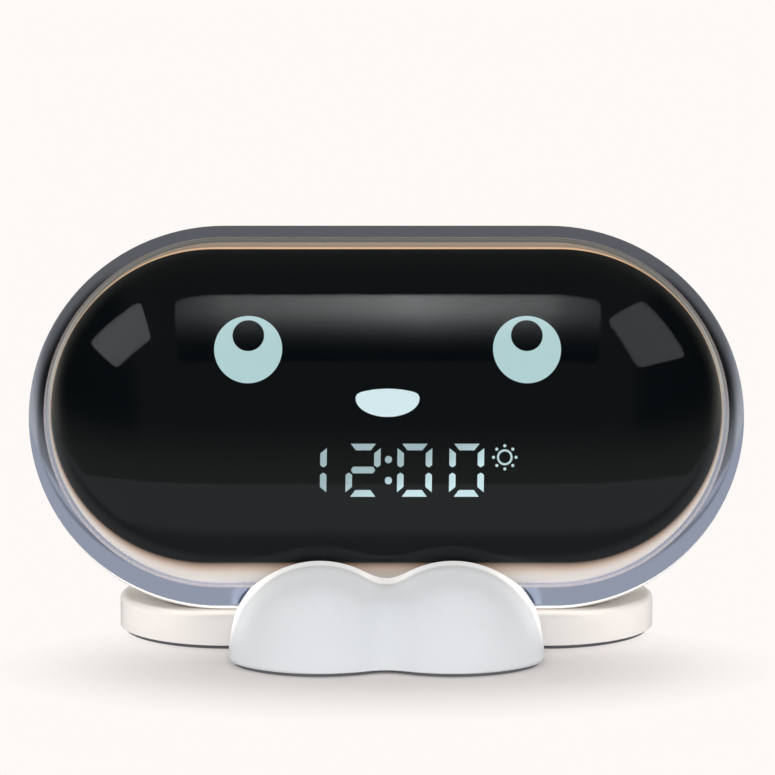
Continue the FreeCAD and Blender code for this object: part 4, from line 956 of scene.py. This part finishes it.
# %% [markdown]
# ## The clear lens
# Glass or clear plastic bends light and mirrors the studio. Its shadow would be black in a path
# tracer without caustics, so for shadow rays alone it is nearly transparent, and light reaches
# the face behind it. An anti-glare coat halves what such a lens mirrors. It stands in here as a lower
# IOR than the 1.49 of bare clear plastic.

# %% Lens finish
LENS_CLEAR = (0.97, 0.98, 0.98)
lens_look = finish("clear lens", LENS_CLEAR, 0.02, bump=0.0, mottle=0.0, Transmission_Weight=1.0, IOR=1.35)
tree = lens_look.node_tree
clear = add_node(tree, "ShaderNodeBsdfTransparent", Color=(0.93, 0.94, 0.94, 1))
shadow_ray = tree.nodes.new("ShaderNodeLightPath").outputs["Is Shadow Ray"]
chosen = picked(tree, shadow_ray, shader_of(lens_look).outputs[0], clear.outputs[0])
tree.links.new(chosen, output_of(lens_look).inputs[0])
looks["clear_cover"] = lens_look

# %% [markdown]
# ## Finishes inside and behind
# Boards, screws, the speaker, the battery and the lamps hide inside, but they are real parts, so
# each has its own finish: drawn metal for screws, solder mask for boards, shrink wrap for the cell.

# %% Inner finishes
looks["light_box_white"] = finish("matt white light box", srgb(232, 231, 226), 0.6)
looks["circuit_board"] = finish("green circuit board", srgb(30, 110, 66), 0.3, smudge=400.0, mottle=0.25)
looks["lamp_yellow"] = finish("lamp phosphor", srgb(240, 226, 130), 0.5, smudge=500.0, mottle=0.08)
looks["frame_grey"] = finish("moulded grey frame", srgb(120, 124, 128), 0.5)
looks["plate_grey"] = finish("pale base plate", srgb(222, 220, 217), 0.45)
looks["battery_wrap"] = finish(
    "blue shrink wrap", srgb(70, 110, 165), 0.25, smudge=150.0, mottle=0.06, bump=0.03
)
looks["switch_black"] = finish("black switch", srgb(28, 28, 29), 0.45)
looks["foam_black"] = finish("closed foam", srgb(30, 30, 30), 0.9, peel=2500.0, bump=0.08, mottle=0.2)
looks["cone_paper"] = finish("pressed cone", srgb(36, 36, 38), 0.8, peel=1800.0, bump=0.05, mottle=0.2)
looks["basket_steel"] = finish("black speaker basket", srgb(34, 34, 35), 0.4, Metallic=0.3)
DRAWN = {"grain": brushed, "Metallic": 1.0}
looks["screw_steel"] = finish("zinc screw", srgb(190, 190, 192), 0.3, peel=1500.0, **DRAWN)
looks["socket_metal"] = finish("drawn socket", srgb(200, 200, 202), 0.25, peel=1800.0, **DRAWN)
looks["magnet_steel"] = finish("plated magnet", srgb(170, 170, 172), 0.35, peel=900.0, **DRAWN)

slots = {entry["node"]: entry["material_slot"] for entry in frame["record"]["subparts"]}
for node, slot_name in slots.items():
    wear(nodes[node], looks[slot_name])
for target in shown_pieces():
    if target.get("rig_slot"):
        wear(target, looks[target["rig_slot"]])
wear(nose, nose_look)
wear(sun_sign, sun_look)
wear(nodes["rear_shell"], shell_shade_and_lip_light)
print("finishes:", len(looks))

# %% [markdown]
# ## The studio floor
# The clock stands on pale paper that runs off into a pale background. The paper takes the clock's
# soft shadow. A share of plain white is mixed in for what is seen straight or through the lens, more
# of it further from the paws, so that the paper meets the background without a line. Glossy things
# mirror the paper as a mid grey, with a painted shadow: a darker belt where the paws' shadow lies.

# %% Floor
PAPER_WHITE = srgb(254, 249, 246)
floor_mesh = bpy.data.meshes.new("studio_floor")
floor_mesh.from_pydata([(-4, -4, 0), (4, -4, 0), (4, 4, 0), (-4, 4, 0)], [], [(0, 1, 2, 3)])
studio_floor = bpy.data.objects.new("studio_floor", floor_mesh)
bpy.context.scene.collection.objects.link(studio_floor)

floor_look = finish("studio paper", srgb(250, 246, 244), 0.85, mottle=0.004)
tree = floor_look.node_tree
paper = shader_of(floor_look)
paper.inputs["Specular IOR Level"].default_value = 0.0
white = add_node(tree, "ShaderNodeEmission", Color=(*PAPER_WHITE, 1), Strength=1.0)
floor_rays = tree.nodes.new("ShaderNodeLightPath")
from_paws = add_node(tree, "ShaderNodeVectorMath", operation="ADD")
from_paws.inputs[1].default_value = (0.0, 0.045, 0.0)
oval = add_node(tree, "ShaderNodeVectorMath", operation="MULTIPLY")
oval.inputs[1].default_value = (0.75, 1.25, 1.0)
away = add_node(tree, "ShaderNodeVectorMath", operation="LENGTH")
tree.links.new(object_place(tree), from_paws.inputs[0])
tree.links.new(from_paws.outputs["Vector"], oval.inputs[0])
tree.links.new(oval.outputs["Vector"], away.inputs[0])
white_share = mapped(tree, away.outputs["Value"], 0.02, 0.07, 0.0, 1.0, kind="LINEAR")
straight = reckon(tree, "ADD", floor_rays.outputs["Is Camera Ray"], floor_rays.outputs["Is Transmission Ray"])
share = reckon(tree, "MULTIPLY", straight, white_share)
seen_paper = picked(tree, share, paper.outputs[0], white.outputs[0])
mirrored_paper = add_node(tree, "ShaderNodeEmission", Color=(0.99, 0.99, 1.0, 1))
floor_depth = place_parts(tree)["Y"]
# Painted shadow in mirror images: the mirrored paper dims to a belt about 85 to 100 mm in front.
painted_shadow_far_side = mapped(tree, floor_depth, -0.14, -0.1, 0.42, 0.2)
painted_shadow_near_side = mapped(tree, floor_depth, -0.085, -0.06, 0.2, 0.4)
tree.links.new(reckon(tree, "MAXIMUM", painted_shadow_far_side, painted_shadow_near_side), mirrored_paper.inputs["Strength"])
all_paper = picked(tree, floor_rays.outputs["Is Glossy Ray"], seen_paper, mirrored_paper.outputs[0])
tree.links.new(all_paper, output_of(floor_look).inputs[0])
wear(studio_floor, floor_look)

# %% [markdown]
# ## The room
# Glossy black plastic looks black only if it has something dark to mirror. So what glossy things find
# is grey at the horizon, dark overhead, and darker still where black flags stand high on both sides.
# What lights dull surfaces is even from all round, and the camera sees plain white.

# %% World
AIR_LIGHT = 0.57
world = bpy.data.worlds.new("studio")
bpy.context.scene.world = world
world.use_nodes = True
tree = world.node_tree
tree.nodes.clear()
direction = tree.nodes.new("ShaderNodeTexCoord")
parts = tree.nodes.new("ShaderNodeSeparateXYZ")
tree.links.new(direction.outputs["Generated"], parts.inputs[0])
mirrored_level = add_node(tree, "ShaderNodeMath", operation="MULTIPLY")
height_glow = mapped(tree, parts.outputs["Z"], 0.0, 0.42, 0.4, 0.11)
sideways = add_node(tree, "ShaderNodeMath", operation="ABSOLUTE")
tree.links.new(parts.outputs["X"], sideways.inputs[0])
beside = mapped(tree, sideways.outputs[0], 0.48, 0.62, 0.0, 1.0)
raised = mapped(tree, parts.outputs["Z"], 0.12, 0.45, 0.0, 1.0)
forward = mapped(tree, parts.outputs["Y"], -0.1, 0.45, 1.0, 0.0)
on_flag = reckon(tree, "MULTIPLY", reckon(tree, "MULTIPLY", beside, raised), forward)
flag = mapped(tree, on_flag, 0.0, 1.0, 1.0, 0.1, kind="LINEAR")
behind_more = mapped(tree, parts.outputs["Y"], -0.15, 0.15, 0.55, 1.25)
tree.links.new(behind_more, mirrored_level.inputs[0])
tree.links.new(height_glow, mirrored_level.inputs[1])
mirrored = reckon(tree, "MULTIPLY", mirrored_level.outputs[0], flag)
room = add_node(tree, "ShaderNodeBackground", Color=(1.0, 0.96, 0.87, 1))
tree.links.new(mirrored, room.inputs["Strength"])
air = add_node(tree, "ShaderNodeBackground", Color=(*PAPER_WHITE, 1), Strength=AIR_LIGHT)
seen = add_node(tree, "ShaderNodeBackground", Color=(*PAPER_WHITE, 1), Strength=1.0)
world_rays = tree.nodes.new("ShaderNodeLightPath")
world_out = tree.nodes.new("ShaderNodeOutputWorld")
unseen = picked(tree, world_rays.outputs["Is Glossy Ray"], air.outputs[0], room.outputs[0])
whole_world = picked(tree, world_rays.outputs["Is Camera Ray"], unseen, seen.outputs[0])
tree.links.new(whole_world, world_out.inputs[0])

# %% [markdown]
# ## Softboxes that the face mirrors
# The domed face mirrors a wide softbox high above it and a small one on each side. Each is a glowing
# card. The top card is drawn on a level 2 m up: full light at its near edge, then fading towards the
# camera, and brightest in its middle, as a real softbox is. The side cards are given by the
# directions (turn from straight ahead, rise) in which their corners stand, 2 m away.


# %% Glowing cards
def card_grid(corners, rounding):
    """A rounded square from its middle out, laid between four corners: corner blend = (1 +- u) (1 +- v) / 4."""
    angle = np.linspace(0, 2 * np.pi, 96, endpoint=False)
    cosine, sine = np.cos(angle), np.sin(angle)
    power = 2.0 / rounding
    edge = 1.0 / (np.abs(cosine) ** power + np.abs(sine) ** power) ** (1.0 / power)
    reach = np.linspace(0, 1, 24)[:, None] * edge
    u, v = reach * cosine, reach * sine
    weights = np.stack([(1 - u) * (1 + v), (1 + u) * (1 + v), (1 + u) * (1 - v), (1 - u) * (1 - v)], -1) / 4
    return u, v, weights @ np.asarray(corners, dtype=float)


def glowing_card(name, corners, strength, rounding=0.2, falloff=None):
    """A stage card whose glow is stored at each place, as strength * falloff(u, v), and shines from there."""
    u, v, places = card_grid(corners, rounding)
    glow = strength * (falloff(u, v) if falloff else np.ones_like(u))
    mesh = bpy.data.meshes.new(name)
    mesh.from_pydata((places * MM).reshape(-1, 3).tolist(), [], patches(*places.shape[:2]).tolist())
    mesh.attributes.new("glow", "FLOAT", "POINT").data.foreach_set("value", glow.ravel())
    card = bpy.data.objects.new(name, mesh)
    bpy.context.scene.collection.objects.link(card)
    card.visible_camera = False
    card.visible_diffuse = False
    look = bpy.data.materials.new(name + "_light")
    look.use_nodes = True
    card_tree = look.node_tree
    card_tree.nodes.clear()
    stored = add_node(card_tree, "ShaderNodeAttribute", attribute_name="glow")
    light = add_node(card_tree, "ShaderNodeEmission", Color=(0.97, 0.99, 1.0, 1))
    card_out = card_tree.nodes.new("ShaderNodeOutputMaterial")
    card_tree.links.new(stored.outputs["Fac"], light.inputs["Strength"])
    card_tree.links.new(light.outputs[0], card_out.inputs[0])
    wear(card, look)
    print(f"{name}: glow {glow.min():.2f} to {glow.max():.2f}")


def toward(turn_degrees, rise_degrees):
    """A place 2 m from the face: turned from straight ahead to the right, and raised."""
    sideways_turn, rise = math.radians(turn_degrees), math.radians(rise_degrees)
    reach = 2000.0
    flat = reach * math.cos(rise)
    ahead = flat * math.cos(sideways_turn)
    return (flat * math.sin(sideways_turn), -30.0 - ahead, 60.0 + reach * math.sin(rise))


def top_falloff(u, v):
    """Down the card the light is full for the first seventh, then fades; across it peaks in the middle."""
    down = (1 - v) / 2
    fade = np.exp(-(np.maximum(down - 0.14, 0) / 0.26) ** 1.7)
    middle = 0.16 + 0.2 * (1 - np.abs(u)) + 0.64 * np.exp(-np.abs(u) * 8.5)
    return fade * middle


glowing_card(
    "top_softbox",
    [(-660, -596, 2000), (690, -596, 2000), (930, -1900, 2000), (-850, -1900, 2000)],
    3.5,
    rounding=0.12,
    falloff=top_falloff,
)
glowing_card("left_softbox", [toward(-70, 59), toward(-45, 50), toward(-54, 36), toward(-74, 39)], 1.3)
glowing_card("right_softbox", [toward(44, 58), toward(76, 57), toward(71, 35), toward(45, 38)], 0.87)

# %% [markdown]
# ## Lamps for the dull surfaces
# White plastic and paper need light of their own. A wide lamp high behind the clock makes its soft
# shadow fall forward, and two low ones at the front sides light its front and underside. They are kept
# out of mirror images, where they would wash out the black.


# %% Lamps
def soft_lamp(name, place_mm, wide_mm, tall_mm, power):
    """A rectangular lamp at a place, turned to face the clock, unseen in glossy surfaces."""
    lamp = bpy.data.lights.new(name, "AREA")
    lamp.shape = "RECTANGLE"
    lamp.size, lamp.size_y = wide_mm * MM, tall_mm * MM
    lamp.energy = power
    made = bpy.data.objects.new(name, lamp)
    bpy.context.scene.collection.objects.link(made)
    made.location = Vector(place_mm) * MM
    made.rotation_euler = (Vector((0, 0, 0.05)) - made.location).to_track_quat("-Z", "Y").to_euler()
    made.visible_glossy = False
    made.visible_transmission = False


soft_lamp("back_lamp", (0, 620, 760), 900, 600, 5.2)
soft_lamp("left_lamp", (-850, -750, 130), 500, 200, 5.0)
soft_lamp("right_lamp", (850, -750, 130), 500, 200, 5.0)

# %% [markdown]
# ## The camera
# The photograph was taken from about a metre, a little above the table. The lens is long, so that
# the oval hardly narrows towards its back.

# %% Camera
VIEW_DISTANCE, VIEW_UP = 1100.0, math.radians(9.2)
VIEW_FROM = np.array([0.0, -math.cos(VIEW_UP), math.sin(VIEW_UP)])
aim = np.array([0.26, -8.0, 60.4])
camera_data = bpy.data.cameras.new("camera")
camera = bpy.data.objects.new("camera", camera_data)
bpy.context.scene.collection.objects.link(camera)
camera_data.sensor_width = 36.0
camera_data.lens = 212.1
camera.location = (aim + VIEW_DISTANCE * VIEW_FROM) * MM
camera.rotation_euler = (math.pi / 2 - VIEW_UP, 0.0, 0.0)
bpy.context.scene.camera = camera
bpy.context.scene.view_settings.view_transform = "Standard"
